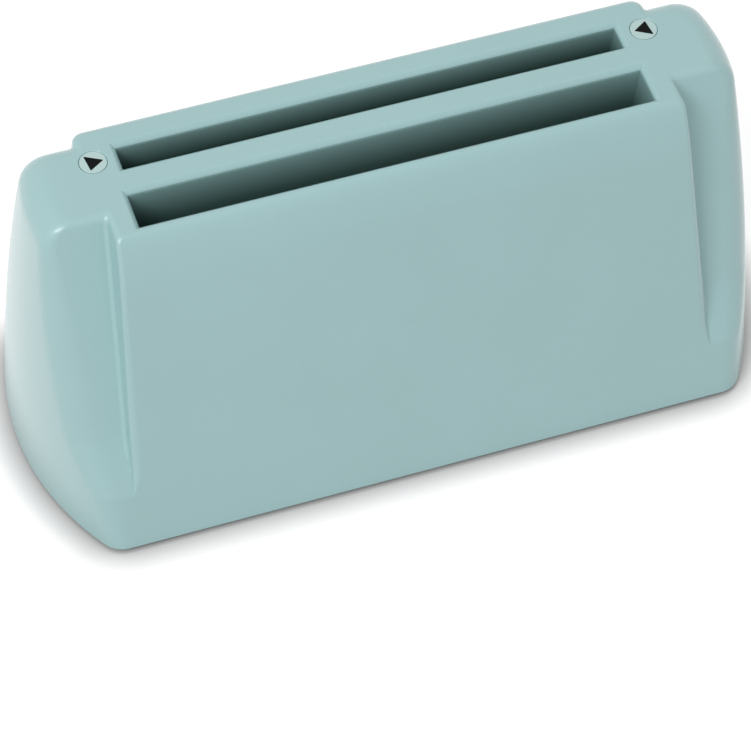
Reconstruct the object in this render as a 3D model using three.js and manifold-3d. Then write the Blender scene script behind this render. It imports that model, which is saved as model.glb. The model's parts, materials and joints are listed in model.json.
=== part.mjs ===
import * as THREE from "three";
import { mergeVertices } from "three/addons/utils/BufferGeometryUtils.js";
import Module from "manifold-3d";

const wasm = await Module();
wasm.setup();

// A desk letter folder. Lengths are millimetres. X runs along the slots, the front faces -Y and Z is up.
// The origin lies on the surface that the feet stand on, under the middle of the case.

// Case: overall form
const caseHeight = 155;
const footRise = 3;
const caseDepth = 132;
const wall = 2.5;
const cutOverrun = 1;
const seat = 0.3;

// Case: ends, which bow outwards in plan and lean outwards to the base
const endHalfWidthTop = 153.2;
const endHalfWidthBase = 167.7;
const endSwell = 1.4;
const endArcTop = 83.5;
const endArcBase = 127;
const endCentreY = 9.6;
const endRound = 14.5;

// Case: shoulders beside the centre block, and the recesses in front of them
const shoulderFrontY = -7.8;
const shoulderBackY = 36;
const shoulderRound = 3.6;
const frontCornerTop = 7.5;
const frontCornerBase = 11.4;
const backCornerTop = 10.5;
const backCornerBase = 15.5;
const skirtBand = 26;
const ledgeRise = 23.5;
const recessStep = 8.2;

// Case: centre block, which carries the slots and the sloping front panel
const blockHalfWidth = 123.6;
const blockFlare = 9.8;
const blockFrontY = -23.9;
const blockBackY = 41;
const blockRound = 4.5;
const blockSideRound = 3;
const blockFrontCornerTop = 2;
const blockFrontCornerBase = 4.7;
const blockBackCorner = 5;
const innerRound = 0.5;
const roundDepthShares = [0, 0.04, 0.14, 0.3, 0.55, 1];
const bodyDepthShares = [0.25, 0.42, 0.6];
const cornerSteps = 3;
const endSteps = 10;

// Slots and their chutes
const rearSlotY = 22.3;
const slotSpacing = 28.5;
const frontSlotLength = 224.2;
const frontSlotWidth = 17.3;
const rearSlotLength = 219.8;
const rearSlotWidth = 11.4;
const lipDepth = 2.2;
const lipRun = 2.4;
const chuteDepth = 30;
const chuteWall = 2;
const chuteEndDraftShare = 0.08;
const chuteWallDraftShare = 0.02;

// Indicator discs, flush in the roof, beyond the ends of the rear slot
const discRadius = 5.8;
const discThickness = 0.9;
const discReach = 11.3;
const discGap = 0.25;

// Base plate, feet and the bosses that the base screws hold
const basePlateRise = 4;
const basePlateThickness = 2;
const basePlateFit = 0.5;
const footRadius = 8;
const footChamfer = 0.75;
const footSpacing = 16;
const footFrontInset = 18;
const footRearInset = 16;
const bossRadius = 5;
const bossFrontInset = 26;
const bossRearInset = 18;
const pilotRadius = 1.2;
const pilotDepth = 14;
const screwShankRadius = 1.8;
const screwThreadRadius = 0.9;
const screwHeadRadius = 3.4;
const screwHeadHeight = 1.8;
const screwLength = 12;
const screwClearance = 0.3;

// Gears: one module and pressure angle for the whole train, set by the middle roller's gear
const middlePitchRadius = 14.5;
const pressureAngle = THREE.MathUtils.degToRad(20);
const gearBacklash = 0.3;
const dedendumShare = 1.25;
const middleTeeth = 29;
const outerTeeth = 16;
const idlerTeeth = 24;
const pinionTeeth = 12;
const gearThickness = 5;
const idlerDirection = THREE.MathUtils.degToRad(-115);
const pinionDirection = THREE.MathUtils.degToRad(-100);
const flankSteps = 2;

// Rollers: rear, middle and front lie side by side, and each nip lies under a slot
const nipLead = 0.6;
const rollerDepth = 47;
const sleeveHalfLength = 108;
const nipGap = 0.3;
const shaftRadius = 3;
const boreGap = 0.3;
const shaftEndPlay = 1.5;
const sleeveChamfer = 0.5;

// Side frames
const frameX = 111.5;
const frameThickness = 1.5;
const frameTopDepth = 33;
const frameTopBackY = 40.5;
const frameEdge = 1.6;
const frameShoulderDepth = 42;
const frameFootInset = 17;
const frameFootFrontY = -36;
const frameFootHeight = 22;
const frameFlange = 13;
const flangeFrontY = -28;
const flangeBackY = 13;
const lightenFrontY = -21;
const lightenBackY = 10;
const lightenBottom = 11;
const lightenMargin = 11.8;
const gearStandOff = 3;

// Bearing carriers that slide in the side frames, and the springs behind them
const carrierHalfLength = 5.5;
const carrierHalfHeight = 5;
const carrierFlangeHalfHeight = 6.4;
const carrierFlange = 2.2;
const springLength = 5.6;
const springRadius = 2.05;
const springWire = 0.35;
const springTurns = 4;
const springStepsPerTurn = 8;
const bushRadius = 5;
const bushFlangeRadius = 7;
const bushFlange = 1.5;

// Drive: motor, stud and tie bars
const motorRadius = 12.5;
const motorLength = 56;
const motorNeckRadius = 5;
const motorNeckLength = 2.4;
const motorShaftRadius = 1.5;
const motorShaftEnd = 0.75;
const motorStep = 1.6;
const motorScrewOffset = 8.5;
const motorScrewGrip = 4;
const motorScrewBore = 6;
const studHeadRadius = 4.5;
const studHead = 1.6;
const studLipRadius = 3.9;
const studLip = 0.9;
const tieBarRadius = 3;
const tieBarNeckRadius = 1.7;
const tieBarOverhang = 1.5;
const tieBarDrop = 20;
const frontTieBarY = -26;
const rearTieBarY = 36;

// Fold chamber
const stopStand = 8.9;
const chamberGap = 3.1;
const sheetMetal = 1;
const frontPlateDrop = 25;
const rearPlateDrop = 10.5;
const plateLipRun = 2.2;
const plateLipRise = 2;
const stopFloor = 3;
const stopRidgeRise = 1.5;
const stopLipRise = 3.5;
const stopLipWall = 1;
const stopClearance = 0.3;
const buckleBendShare = 0.5;
const buckleEnd = THREE.MathUtils.degToRad(212);

// Paper guides between the chutes and the rollers
const guideGap = 0.85;
const guideSheet = 1.6;
const guideTipRun = 0.6;
const guideTipRise = 0.8;
const guideRootRun = 2.6;
const guideShelfLength = 11.5;
const centreTipRun = 0.4;
const centreReach = THREE.MathUtils.degToRad(52);
const guideSteps = 8;
const nipSetback = 5.4;

// Paper sensor
const sensorX = 40;
const leverPinY = 36;
const leverPinDepth = 30.5;
const leverPinRadius = 1;
const leverPinHalfLength = 6.5;
const leverThickness = 1.6;
const leverWidth = 3;
const leverTipY = 20.4;
const leverTipDepth = 36.4;
const flagRise = 9.5;
const flagWidth = 1;
const flagLength = 3;
const hubRadius = 2.4;
const earThickness = 1.6;
const earRadius = 2.6;
const bracketLength = 22;
const bracketSheet = 1.4;
const bracketBackY = 40.2;
const bracketPostWidth = 4.8;
const bracketPostDepth = 3.2;
const eyeWidth = 5.4;
const eyeSlot = 2;
const eyeHeight = 5;
const eyeBase = 2;
const eyeDepth = 4;

// Control board
const boardX = -58;
const boardY = -14;
const boardLength = 84;
const boardWidth = 46;
const boardThickness = 1.6;
const boardRise = 4.2;
const standOffRadius = 2.5;
const standOffInset = 5;
const capacitorRadius = 5;
const capacitorHeight = 16;
const capacitorX = -21;
const capacitorY = 9.2;
const relayLength = 19;
const relayWidth = 15;
const relayHeight = 15;
const relayX = 14;
const plugLength = 12;
const plugWidth = 6;
const plugHeight = 8;

// Service recess in the back, with the power inlet and the rocker switch
const serviceX = -85;
const serviceHalfLength = 31;
const serviceBottom = 11;
const serviceTop = 35;
const serviceDepth = 9;
const inletX = -101;
const inletRadius = 4.6;
const inletFlangeRadius = 6.2;
const inletFlange = 1.2;
const inletBore = 2.8;
const inletLength = 12;
const inletBoreDepth = 9;
const inletPinRadius = 1;
const switchX = -72;
const switchLength = 19;
const switchWidth = 13;
const switchBezel = 1.6;
const switchBezelDepth = 1.4;
const switchBodyDepth = 16;
const switchWell = 6;
const rockerGap = 0.5;
const rockerTilt = THREE.MathUtils.degToRad(7);
const rockerCrown = 3.4;
const rockerBellyShare = 0.5;

// Places worked out from the sizes above
const skirtDepth = caseHeight - footRise;
const recessEndDepth = skirtDepth - skirtBand;
const recessBendDepth = recessEndDepth - ledgeRise;
const recessBendY = caseFrontAt(recessBendDepth) + recessStep;
const frontSlotY = rearSlotY - slotSpacing;
const discX = rearSlotLength / 2 + discReach;
const gearModule = (2 * middlePitchRadius) / middleTeeth;
const outerPitchRadius = (gearModule * outerTeeth) / 2;
const idlerPitchRadius = (gearModule * idlerTeeth) / 2;
const pinionPitchRadius = (gearModule * pinionTeeth) / 2;
const rearNipY = rearSlotY - nipLead;
const rollerZ = caseHeight - rollerDepth;
const middleAxis = { y: rearNipY - middlePitchRadius, z: rollerZ };
const rearAxis = { y: rearNipY + outerPitchRadius, z: rollerZ };
const frontAxis = { y: middleAxis.y - middlePitchRadius - outerPitchRadius, z: rollerZ };
const idlerAxis = polar(middleAxis, middlePitchRadius + idlerPitchRadius, idlerDirection);
const motorAxis = polar(idlerAxis, idlerPitchRadius + pinionPitchRadius, pinionDirection);
const outerSleeveRadius = outerPitchRadius - nipGap / 2;
const middleSleeveRadius = middlePitchRadius - nipGap / 2;
const frameOuterX = frameX + frameThickness;
const gearX = frameOuterX + gearStandOff;
const windowOuter = carrierHalfLength + springLength;
const frameTopFrontY = frontAxis.y - windowOuter - frameEdge;
const frameBackY = rearAxis.y + windowOuter + frameEdge;
const frameFootY = caseDepth / 2 - frameFootInset;
const lightenTop = motorAxis.z - motorRadius - lightenMargin;
const frameInside = frameX - seat;
const tieBarZ = rollerZ - tieBarDrop;
const basePlateTop = basePlateRise + basePlateThickness;
const bossFrontY = bossFrontInset - caseDepth / 2;
const bossBackY = caseDepth / 2 - bossRearInset;
const bossX = (frameOuterX + endHalfWidthAt(bossFrontY) - wall) / 2;
const footX = bossX - footSpacing;
const footFrontY = footFrontInset - caseDepth / 2;
const footBackY = caseDepth / 2 - footRearInset;
const chuteBottomZ = caseHeight - chuteDepth;
const rearChuteBackY = rearSlotY + rearSlotWidth / 2;
const frontChuteFrontY = frontSlotY - frontSlotWidth / 2;
const stopTopZ = basePlateTop + stopStand;
const frontPlateTop = rollerZ - frontPlateDrop;
const rearPlateTop = rollerZ - rearPlateDrop;
const chamberFrontY = rearNipY - chamberGap / 2;
const chamberBackY = rearNipY + chamberGap / 2;
const servicePanelY = caseDepth / 2 - serviceDepth;
const serviceZ = (serviceBottom + serviceTop) / 2;

// A point at a distance and direction from another, in the YZ plane
function polar(from, distance, direction) {
  return {
    y: from.y + distance * Math.cos(direction),
    z: from.z + distance * Math.sin(direction),
  };
}

// Solids

// A closed geometry as a solid: shared vertices are merged, faces that shrank to a line are dropped,
// and a surface whose profile was drawn the other way round is turned to face out.
function solid(geometry) {
  const bare = new THREE.BufferGeometry();
  bare.setAttribute("position", geometry.getAttribute("position"));
  if (geometry.index) bare.setIndex(geometry.index);
  const merged = mergeVertices(bare);
  const kept = [];
  const corners = merged.index.array;
  for (let i = 0; i < corners.length; i += 3) {
    const [a, b, c] = corners.slice(i, i + 3);
    if (a !== b && b !== c && c !== a) kept.push([a, b, c]);
  }
  const build = (faces) =>
    new wasm.Manifold(
      new wasm.Mesh({
        numProp: 3,
        vertProperties: new Float32Array(merged.attributes.position.array),
        triVerts: new Uint32Array(faces.flat()),
      }),
    );
  const made = build(kept);
  return made.volume() > 0 ? made : build(kept.map(([a, b, c]) => [a, c, b]));
}

function geometryOf(body) {
  const mesh = body.getMesh();
  const geometry = new THREE.BufferGeometry();
  geometry.setAttribute("position", new THREE.BufferAttribute(mesh.vertProperties, mesh.numProp));
  geometry.setIndex(new THREE.BufferAttribute(mesh.triVerts, 1));
  geometry.computeVertexNormals();
  return geometry;
}

const joined = (first, ...others) => others.reduce((body, other) => body.add(other), first);
const cut = (first, ...others) => others.reduce((body, other) => body.subtract(other), first);

// A block between two coordinates on each axis
function block(x, y, z) {
  const low = new THREE.Vector3(Math.min(...x), Math.min(...y), Math.min(...z));
  const high = new THREE.Vector3(Math.max(...x), Math.max(...y), Math.max(...z));
  const size = high.clone().sub(low);
  const geometry = new THREE.BoxGeometry(size.x, size.y, size.z);
  geometry.translate(...low.add(high).multiplyScalar(0.5));
  return solid(geometry);
}

// A closed outline pushed along Z, less its holes
function prismZ(outline, [from, to], holes = []) {
  const pushed = (points, overrun) => {
    const depth = to - from + 2 * overrun;
    const geometry = new THREE.ExtrudeGeometry(new THREE.Shape(points), { depth, bevelEnabled: false });
    return solid(geometry.translate(0, 0, from - overrun));
  };
  return cut(pushed(outline, 0), ...holes.map((points) => pushed(points, cutOverrun)));
}

// The same along X, for an outline drawn as y and z
function prismX(outline, x, holes) {
  const alongX = new THREE.Matrix4().makeBasis(
    new THREE.Vector3(0, 1, 0),
    new THREE.Vector3(0, 0, 1),
    new THREE.Vector3(1, 0, 0),
  );
  return prismZ(outline, [Math.min(...x), Math.max(...x)], holes).transform(alongX.elements);
}

// A profile of [place along the axis, radius] turned round an axis
function turned(profile, segments) {
  const points = profile.map(([place, radius]) => new THREE.Vector2(radius, place));
  return new THREE.LatheGeometry(points, segments);
}

function turnedX(profile, segments = 16) {
  const alongX = new THREE.Matrix4().makeBasis(
    new THREE.Vector3(0, 1, 0),
    new THREE.Vector3(1, 0, 0),
    new THREE.Vector3(0, 0, -1),
  );
  return solid(turned(profile, segments).applyMatrix4(alongX));
}

// Front to back, as a lathe turns
function turnedY(profile, segments = 16) {
  return solid(turned(profile, segments));
}

function turnedZ(profile, segments = 20) {
  return solid(turned(profile, segments).rotateX(Math.PI / 2));
}

// The profile of a plain rod, for the functions above
const rod = ([from, to], radius) => [
  [from, 0],
  [from, radius],
  [to, radius],
  [to, 0],
];

// A skin over rings of equally many points, each at its own height, closed at both ends by a fan
function loft(sections) {
  const count = sections[0].points.length;
  const positions = sections.flatMap(({ z, points }) => points.flatMap((p) => [p.x, p.y, z]));
  const faces = [];
  for (let level = 0; level + 1 < sections.length; level++) {
    for (let i = 0; i < count; i++) {
      const a = level * count + i;
      const b = level * count + ((i + 1) % count);
      faces.push(a, b, b + count, a, b + count, a + count);
    }
  }
  for (const level of [0, sections.length - 1]) {
    const { z, points } = sections[level];
    const middle = new THREE.Box2().setFromPoints(points).getCenter(new THREE.Vector2());
    const centre = positions.push(middle.x, middle.y, z) / 3 - 1;
    for (let i = 0; i < count; i++) {
      const edge = [level * count + i, level * count + ((i + 1) % count)];
      faces.push(centre, ...(level ? edge : edge.reverse()));
    }
  }
  const geometry = new THREE.BufferGeometry();
  geometry.setAttribute("position", new THREE.Float32BufferAttribute(positions, 3));
  geometry.setIndex(faces);
  return solid(geometry);
}

// Points on an arc, both ends included
function arc(centreX, centreY, radius, from, to, steps) {
  return Array.from({ length: steps + 1 }, (_, i) => {
    const angle = from + ((to - from) * i) / steps;
    return new THREE.Vector2(centreX + radius * Math.cos(angle), centreY + radius * Math.sin(angle));
  });
}

const mirrored = (points) => points.map((p) => new THREE.Vector2(-p.x, p.y)).reverse();
const circle = (x, y, radius, steps = 16) => arc(x, y, radius, 0, 2 * Math.PI, steps).slice(0, -1);
const rectangle = ([x0, x1], [y0, y1]) => [
  new THREE.Vector2(x0, y0),
  new THREE.Vector2(x1, y0),
  new THREE.Vector2(x1, y1),
  new THREE.Vector2(x0, y1),
];
const outlineOf = (pairs) => pairs.map(([a, b]) => new THREE.Vector2(a, b));

// Case

// A value that changes evenly from the roof to the case's lower edge
function leaning(top, base, depth) {
  return top + ((base - top) * depth) / skirtDepth;
}

// The sloping front panel, which the recesses' ledges run out to
function caseFrontAt(depth) {
  return leaning(blockFrontY, -caseDepth / 2, depth);
}

// Half the width of the case's lower edge, where the bow of its end passes a given y
function endHalfWidthAt(y) {
  return endHalfWidthBase - endArcBase + Math.sqrt(endArcBase ** 2 - (y - endCentreY) ** 2);
}

const caseBackAt = (depth) => leaning(blockBackY, caseDepth / 2, depth);
const shoulderBackAt = (depth) => leaning(shoulderBackY, caseDepth / 2, depth);

// The front of the ends: the recess floor, the ledge under it, and the skirt in the panel's plane
function shoulderFrontAt(depth) {
  if (depth >= recessEndDepth) return caseFrontAt(depth);
  if (depth <= recessBendDepth) {
    return shoulderFrontY + ((recessBendY - shoulderFrontY) * depth) / recessBendDepth;
  }
  const share = (depth - recessBendDepth) / (recessEndDepth - recessBendDepth);
  return recessBendY + (caseFrontAt(recessEndDepth) - recessBendY) * share;
}

// How far a rounded top edge draws a wall in, at a depth below the roof
function drawnIn(depth, radius) {
  if (depth >= radius) return 0;
  return radius - Math.sqrt(radius ** 2 - (radius - depth) ** 2);
}

// Plan of the case at a depth below the roof, drawn in by a wall: the block's front corner, the step back
// to the shoulder, the bowed end between its two corners, and the step out to the block's back corner.
// Down the skirt the steps shrink to nothing, and their points with them.
function caseSection(depth, inset) {
  const share = depth / skirtDepth;
  const swell = 4 * endSwell * share * (1 - share);
  const round = (radius) => drawnIn(depth - inset, Math.max(radius - inset, innerRound));
  const endX = leaning(endHalfWidthTop, endHalfWidthBase, depth) + swell - inset - round(endRound);
  const frontY = shoulderFrontAt(depth) + inset + round(shoulderRound);
  const backY = shoulderBackAt(depth) - inset - round(shoulderRound);
  const blockX = leaning(blockHalfWidth, blockHalfWidth + blockFlare, depth) - inset - round(blockSideRound);
  const panelY = Math.min(caseFrontAt(depth) + inset + round(blockRound), frontY);
  const stripY = Math.max(caseBackAt(depth) - inset - round(blockRound), backY);
  const blockCorner = leaning(blockFrontCornerTop, blockFrontCornerBase, depth);
  const panelCorner = Math.min(Math.max(blockCorner - inset, innerRound), frontY - panelY);
  const stripCorner = Math.min(Math.max(blockBackCorner - inset, innerRound), stripY - backY);
  const bow = leaning(endArcTop, endArcBase, depth) - inset;
  const frontCorner = leaning(frontCornerTop, frontCornerBase, depth) - inset;
  const backCorner = leaning(backCornerTop, backCornerBase, depth) - inset;
  const bowX = endX - bow;
  const cornerX = (corner, y) => bowX + Math.sqrt((bow - corner) ** 2 - (y - endCentreY) ** 2);
  const front = { x: cornerX(frontCorner, frontY + frontCorner), y: frontY + frontCorner };
  const back = { x: cornerX(backCorner, backY - backCorner), y: backY - backCorner };
  const frontAngle = Math.atan2(front.y - endCentreY, front.x - bowX);
  const backAngle = Math.atan2(back.y - endCentreY, back.x - bowX);
  const down = -Math.PI / 2;
  const up = Math.PI / 2;
  const right = [
    ...arc(blockX - panelCorner, panelY + panelCorner, panelCorner, down, 0, cornerSteps),
    new THREE.Vector2(blockX, frontY),
    ...arc(front.x, front.y, frontCorner, down, frontAngle, cornerSteps),
    ...arc(bowX, endCentreY, bow, frontAngle, backAngle, endSteps).slice(1, -1),
    ...arc(back.x, back.y, backCorner, backAngle, up, cornerSteps),
    new THREE.Vector2(blockX, backY),
    ...arc(blockX - stripCorner, stripY - stripCorner, stripCorner, 0, up, cornerSteps),
  ];
  return [...right, ...mirrored(right)];
}

function caseSolid(inset, bottom) {
  const roof = Math.max(endRound - inset, innerRound);
  const rounded = roundDepthShares.map((share) => inset + share * roof);
  const body = bodyDepthShares.map((share) => share * recessBendDepth);
  const depths = [...rounded, ...body, recessBendDepth, recessEndDepth, bottom].reverse();
  return loft(depths.map((depth) => ({ z: caseHeight - depth, points: caseSection(depth, inset) })));
}

// A slot: a lip that flares to the roof, over a chute that narrows with its draft
function slotCutter(y, length, width) {
  const deep = chuteDepth + cutOverrun - lipDepth;
  const level = (z, spreadX, spreadY) => ({
    z,
    points: rectangle(
      [-length / 2 - spreadX, length / 2 + spreadX],
      [y - width / 2 - spreadY, y + width / 2 + spreadY],
    ),
  });
  return loft([
    level(chuteBottomZ - cutOverrun, -deep * chuteEndDraftShare, -deep * chuteWallDraftShare),
    level(caseHeight - lipDepth, 0, 0),
    level(caseHeight, lipRun, lipRun),
    level(caseHeight + cutOverrun, lipRun, lipRun),
  ]);
}

function chuteSolid(y, length, width) {
  const x = length / 2 + chuteWall;
  const half = width / 2 + chuteWall;
  return block([-x, x], [y - half, y + half], [chuteBottomZ, caseHeight - lipDepth]);
}

const bossPlaces = [-1, 1].flatMap((side) => [
  { name: side < 0 ? "front_left" : "front_right", x: side * bossX, y: bossFrontY },
  { name: side < 0 ? "rear_left" : "rear_right", x: side * bossX, y: bossBackY },
]);

function upperHousing() {
  const shell = cut(caseSolid(0, skirtDepth), caseSolid(wall, skirtDepth + cutOverrun));
  const core = caseSolid(wall / 2, skirtDepth + cutOverrun);
  const bossBottom = basePlateTop + seat;
  const bosses = bossPlaces.map(({ x, y }) =>
    turnedZ(rod([bossBottom, caseHeight], bossRadius)).translate(x, y, 0).intersect(core),
  );
  const pilots = bossPlaces.map(({ x, y }) =>
    turnedZ(rod([bossBottom - cutOverrun, bossBottom + pilotDepth], pilotRadius), 12).translate(x, y, 0),
  );
  const discSeats = [-1, 1].map((side) =>
    turnedZ(rod([caseHeight - discThickness - seat, caseHeight + cutOverrun], discRadius + discGap), 32)
      .translate(side * discX, rearSlotY, 0),
  );
  const serviceX0 = serviceX - serviceHalfLength;
  const serviceX1 = serviceX + serviceHalfLength;
  const serviceBox = block(
    [serviceX0 - wall, serviceX1 + wall],
    [servicePanelY - wall, caseDepth / 2 + cutOverrun],
    [serviceBottom - wall, serviceTop + wall],
  ).intersect(core);
  const serviceRecess = block(
    [serviceX0, serviceX1],
    [servicePanelY, caseDepth / 2 + cutOverrun],
    [serviceBottom, serviceTop],
  );
  const panel = [servicePanelY - wall - cutOverrun, servicePanelY + cutOverrun];
  const inletHole = turnedY(rod(panel, inletRadius + seat)).translate(inletX, 0, serviceZ);
  const switchHole = block(
    [switchX - switchWidth / 2 - seat, switchX + switchWidth / 2 + seat],
    panel,
    [serviceZ - switchLength / 2 - seat, serviceZ + switchLength / 2 + seat],
  );
  const chutes = [
    chuteSolid(frontSlotY, frontSlotLength, frontSlotWidth),
    chuteSolid(rearSlotY, rearSlotLength, rearSlotWidth),
  ];
  const slots = [
    slotCutter(frontSlotY, frontSlotLength, frontSlotWidth),
    slotCutter(rearSlotY, rearSlotLength, rearSlotWidth),
  ];
  return cut(
    joined(shell, ...chutes, ...bosses, serviceBox),
    ...slots,
    ...pilots,
    ...discSeats,
    serviceRecess,
    inletHole,
    switchHole,
  );
}

function indicatorDisc() {
  return turnedZ(rod([-discThickness, 0], discRadius), 32);
}

// Base plate, feet and screws

const footPlaces = [-1, 1].flatMap((side) => [
  { name: side < 0 ? "foot_front_left" : "foot_front_right", x: side * footX, y: footFrontY },
  { name: side < 0 ? "foot_rear_left" : "foot_rear_right", x: side * footX, y: footBackY },
]);
const flangeScrewY = [flangeFrontY + frameFlange / 2, flangeBackY - frameFlange / 2];
const flangeScrewPlaces = [-1, 1].flatMap((side) =>
  flangeScrewY.map((y, i) => ({
    name: (side < 0 ? "left" : "right") + (i ? "_rear" : "_front"),
    x: side * (frameX - frameFlange / 2),
    y,
  })),
);
const boardStandOffs = [-1, 1].flatMap((sx) =>
  [-1, 1].map((sy) => ({
    x: boardX + sx * (boardLength / 2 - standOffInset),
    y: boardY + sy * (boardWidth / 2 - standOffInset),
  })),
);

// The clearance hole that a screw's shank needs through a sheet
function screwHole([from, to]) {
  return turnedZ(rod([from - cutOverrun, to + cutOverrun], screwShankRadius + screwClearance), 12);
}

function basePlate() {
  const points = caseSection(caseHeight - basePlateTop, wall + basePlateFit);
  const plate = loft([basePlateRise, basePlateTop].map((z) => ({ z, points })));
  const post = turnedZ(rod([basePlateTop - cutOverrun, basePlateTop + boardRise], standOffRadius), 12);
  const posts = boardStandOffs.map(({ x, y }) => post.translate(x, y, 0));
  const holes = [...bossPlaces, ...flangeScrewPlaces].map(({ x, y }) =>
    screwHole([basePlateRise, basePlateTop]).translate(x, y, 0),
  );
  return cut(joined(plate, ...posts), ...holes);
}

function rubberFoot() {
  const top = basePlateRise - seat;
  return turnedZ([
    [0, 0],
    [0, footRadius - footChamfer],
    [footChamfer, footRadius],
    [top, footRadius],
    [top, 0],
  ]);
}

// A pan-head screw whose head bears on the plane z = 0 from below, with a thinner threaded end
function panScrew(length, shoulder) {
  return turnedZ(
    [
      [-screwHeadHeight, 0],
      [-screwHeadHeight, screwHeadRadius],
      [-seat / 2, screwHeadRadius],
      [-seat / 2, screwShankRadius],
      [shoulder, screwShankRadius],
      [shoulder, screwThreadRadius],
      [length, screwThreadRadius],
      [length, 0],
    ],
    10,
  );
}

// Gears

// Outline of an involute gear about its own centre, with one tooth centred on the angle phase
function gearOutline(teeth, phase) {
  const pitch = (gearModule * teeth) / 2;
  const base = pitch * Math.cos(pressureAngle);
  const tip = pitch + gearModule;
  const root = pitch - dedendumShare * gearModule;
  const involute = (radius) => {
    const angle = Math.acos(Math.min(base / radius, 1));
    return Math.tan(angle) - angle;
  };
  const halfAngle = (radius) =>
    Math.PI / (2 * teeth) - gearBacklash / (4 * pitch) + involute(pitch) - involute(radius);
  const flank = Array.from({ length: flankSteps + 1 }, (_, i) => root + ((tip - root) * i) / flankSteps);
  const side = flank.map((radius) => [radius, halfAngle(radius)]);
  return Array.from({ length: teeth }, (_, tooth) => {
    const centre = phase + (2 * Math.PI * tooth) / teeth;
    const rising = side.map(([radius, angle]) => [radius, centre - angle]);
    const falling = side.map(([radius, angle]) => [radius, centre + angle]).reverse();
    return [...rising, ...falling];
  })
    .flat()
    .map(([radius, angle]) => new THREE.Vector2(radius * Math.cos(angle), radius * Math.sin(angle)));
}

// The phase that puts a gear in mesh with another, which lies in the opposite direction
function meshedPhase(teeth, otherTeeth, otherPhase, direction) {
  const toothOfOther = ((direction - otherPhase) * otherTeeth) / (2 * Math.PI);
  return direction + Math.PI - ((0.5 - toothOfOther) * 2 * Math.PI) / teeth;
}

function gear(teeth, phase, bore) {
  return prismX(gearOutline(teeth, phase), [gearX, gearX + gearThickness], [circle(0, 0, bore, 12)]);
}

const middlePhase = 0;
const rearPhase = meshedPhase(outerTeeth, middleTeeth, middlePhase, 0);
const frontPhase = meshedPhase(outerTeeth, middleTeeth, middlePhase, Math.PI);
const idlerPhase = meshedPhase(idlerTeeth, middleTeeth, middlePhase, idlerDirection);
const pinionPhase = meshedPhase(pinionTeeth, idlerTeeth, idlerPhase, pinionDirection);

// Rollers, each about its own axis

function rollerShaft() {
  return turnedX(rod([-frameOuterX - shaftEndPlay, gearX + gearThickness + shaftEndPlay], shaftRadius));
}

function rollerSleeve(radius) {
  const bore = shaftRadius + boreGap;
  const end = sleeveHalfLength;
  return turnedX(
    [
      [-end, bore],
      [-end, radius - sleeveChamfer],
      [-end + sleeveChamfer, radius],
      [end - sleeveChamfer, radius],
      [end, radius - sleeveChamfer],
      [end, bore],
      [-end, bore],
    ],
    24,
  );
}

// Side frames

const frameWindows = [
  { axis: rearAxis, outward: 1 },
  { axis: frontAxis, outward: -1 },
];
const tieBarPlaces = [frontTieBarY, rearTieBarY];

function sideFrame(side) {
  const frameBottom = basePlateTop + seat;
  const shoulder = caseHeight - frameShoulderDepth;
  const top = caseHeight - frameTopDepth;
  const outline = outlineOf([
    [frameFootFrontY, frameBottom],
    [frameFootY, frameBottom],
    [frameFootY, frameFootHeight],
    [frameBackY, shoulder - carrierHalfHeight],
    [frameBackY, shoulder],
    [frameTopBackY, top],
    [frameTopFrontY, top],
    [frameTopFrontY, rollerZ - carrierFlangeHalfHeight],
    [frameFootFrontY, frameFootHeight],
  ]);
  const windows = frameWindows.map(({ axis, outward }) => {
    const inner = axis.y - outward * (carrierHalfLength + seat);
    const outer = axis.y + outward * windowOuter;
    return rectangle(
      [Math.min(inner, outer), Math.max(inner, outer)],
      [axis.z - carrierHalfHeight - seat, axis.z + carrierHalfHeight + seat],
    );
  });
  const holes = [
    circle(middleAxis.y, middleAxis.z, bushRadius + seat),
    ...tieBarPlaces.map((y) => circle(y, tieBarZ, tieBarNeckRadius + seat, 12)),
    rectangle([lightenFrontY, lightenBackY], [lightenBottom, lightenTop]),
  ];
  if (side > 0) {
    holes.push(circle(idlerAxis.y, idlerAxis.z, shaftRadius + seat));
    holes.push(circle(motorAxis.y, motorAxis.z, motorNeckRadius + seat));
    for (const offset of [-motorScrewOffset, motorScrewOffset]) {
      holes.push(circle(motorAxis.y + offset, motorAxis.z, screwShankRadius + screwClearance, 12));
    }
  }
  const plate = prismX(outline, [side * frameX, side * frameOuterX], [...windows, ...holes]);
  const flange = block(
    [side * (frameX - frameFlange), side * frameOuterX],
    [flangeFrontY, flangeBackY],
    [frameBottom, frameBottom + frameThickness],
  );
  const flangeHoles = flangeScrewPlaces.map(({ x, y }) =>
    screwHole([frameBottom, frameBottom + frameThickness]).translate(x, y, 0),
  );
  return cut(plate.add(flange), ...flangeHoles);
}

// A bearing block that slides in the frame's window, about its roller's axis
function bearingCarrier(side) {
  const inner = side * (frameInside - carrierFlange);
  const through = block(
    [inner, side * (frameOuterX + seat)],
    [-carrierHalfLength, carrierHalfLength],
    [-carrierHalfHeight, carrierHalfHeight],
  );
  const flange = block(
    [inner, side * frameInside],
    [-carrierHalfLength, carrierHalfLength],
    [-carrierFlangeHalfHeight, carrierFlangeHalfHeight],
  );
  const bore = turnedX(rod([-gearX, gearX], shaftRadius + boreGap));
  return through.add(flange).subtract(bore);
}

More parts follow.
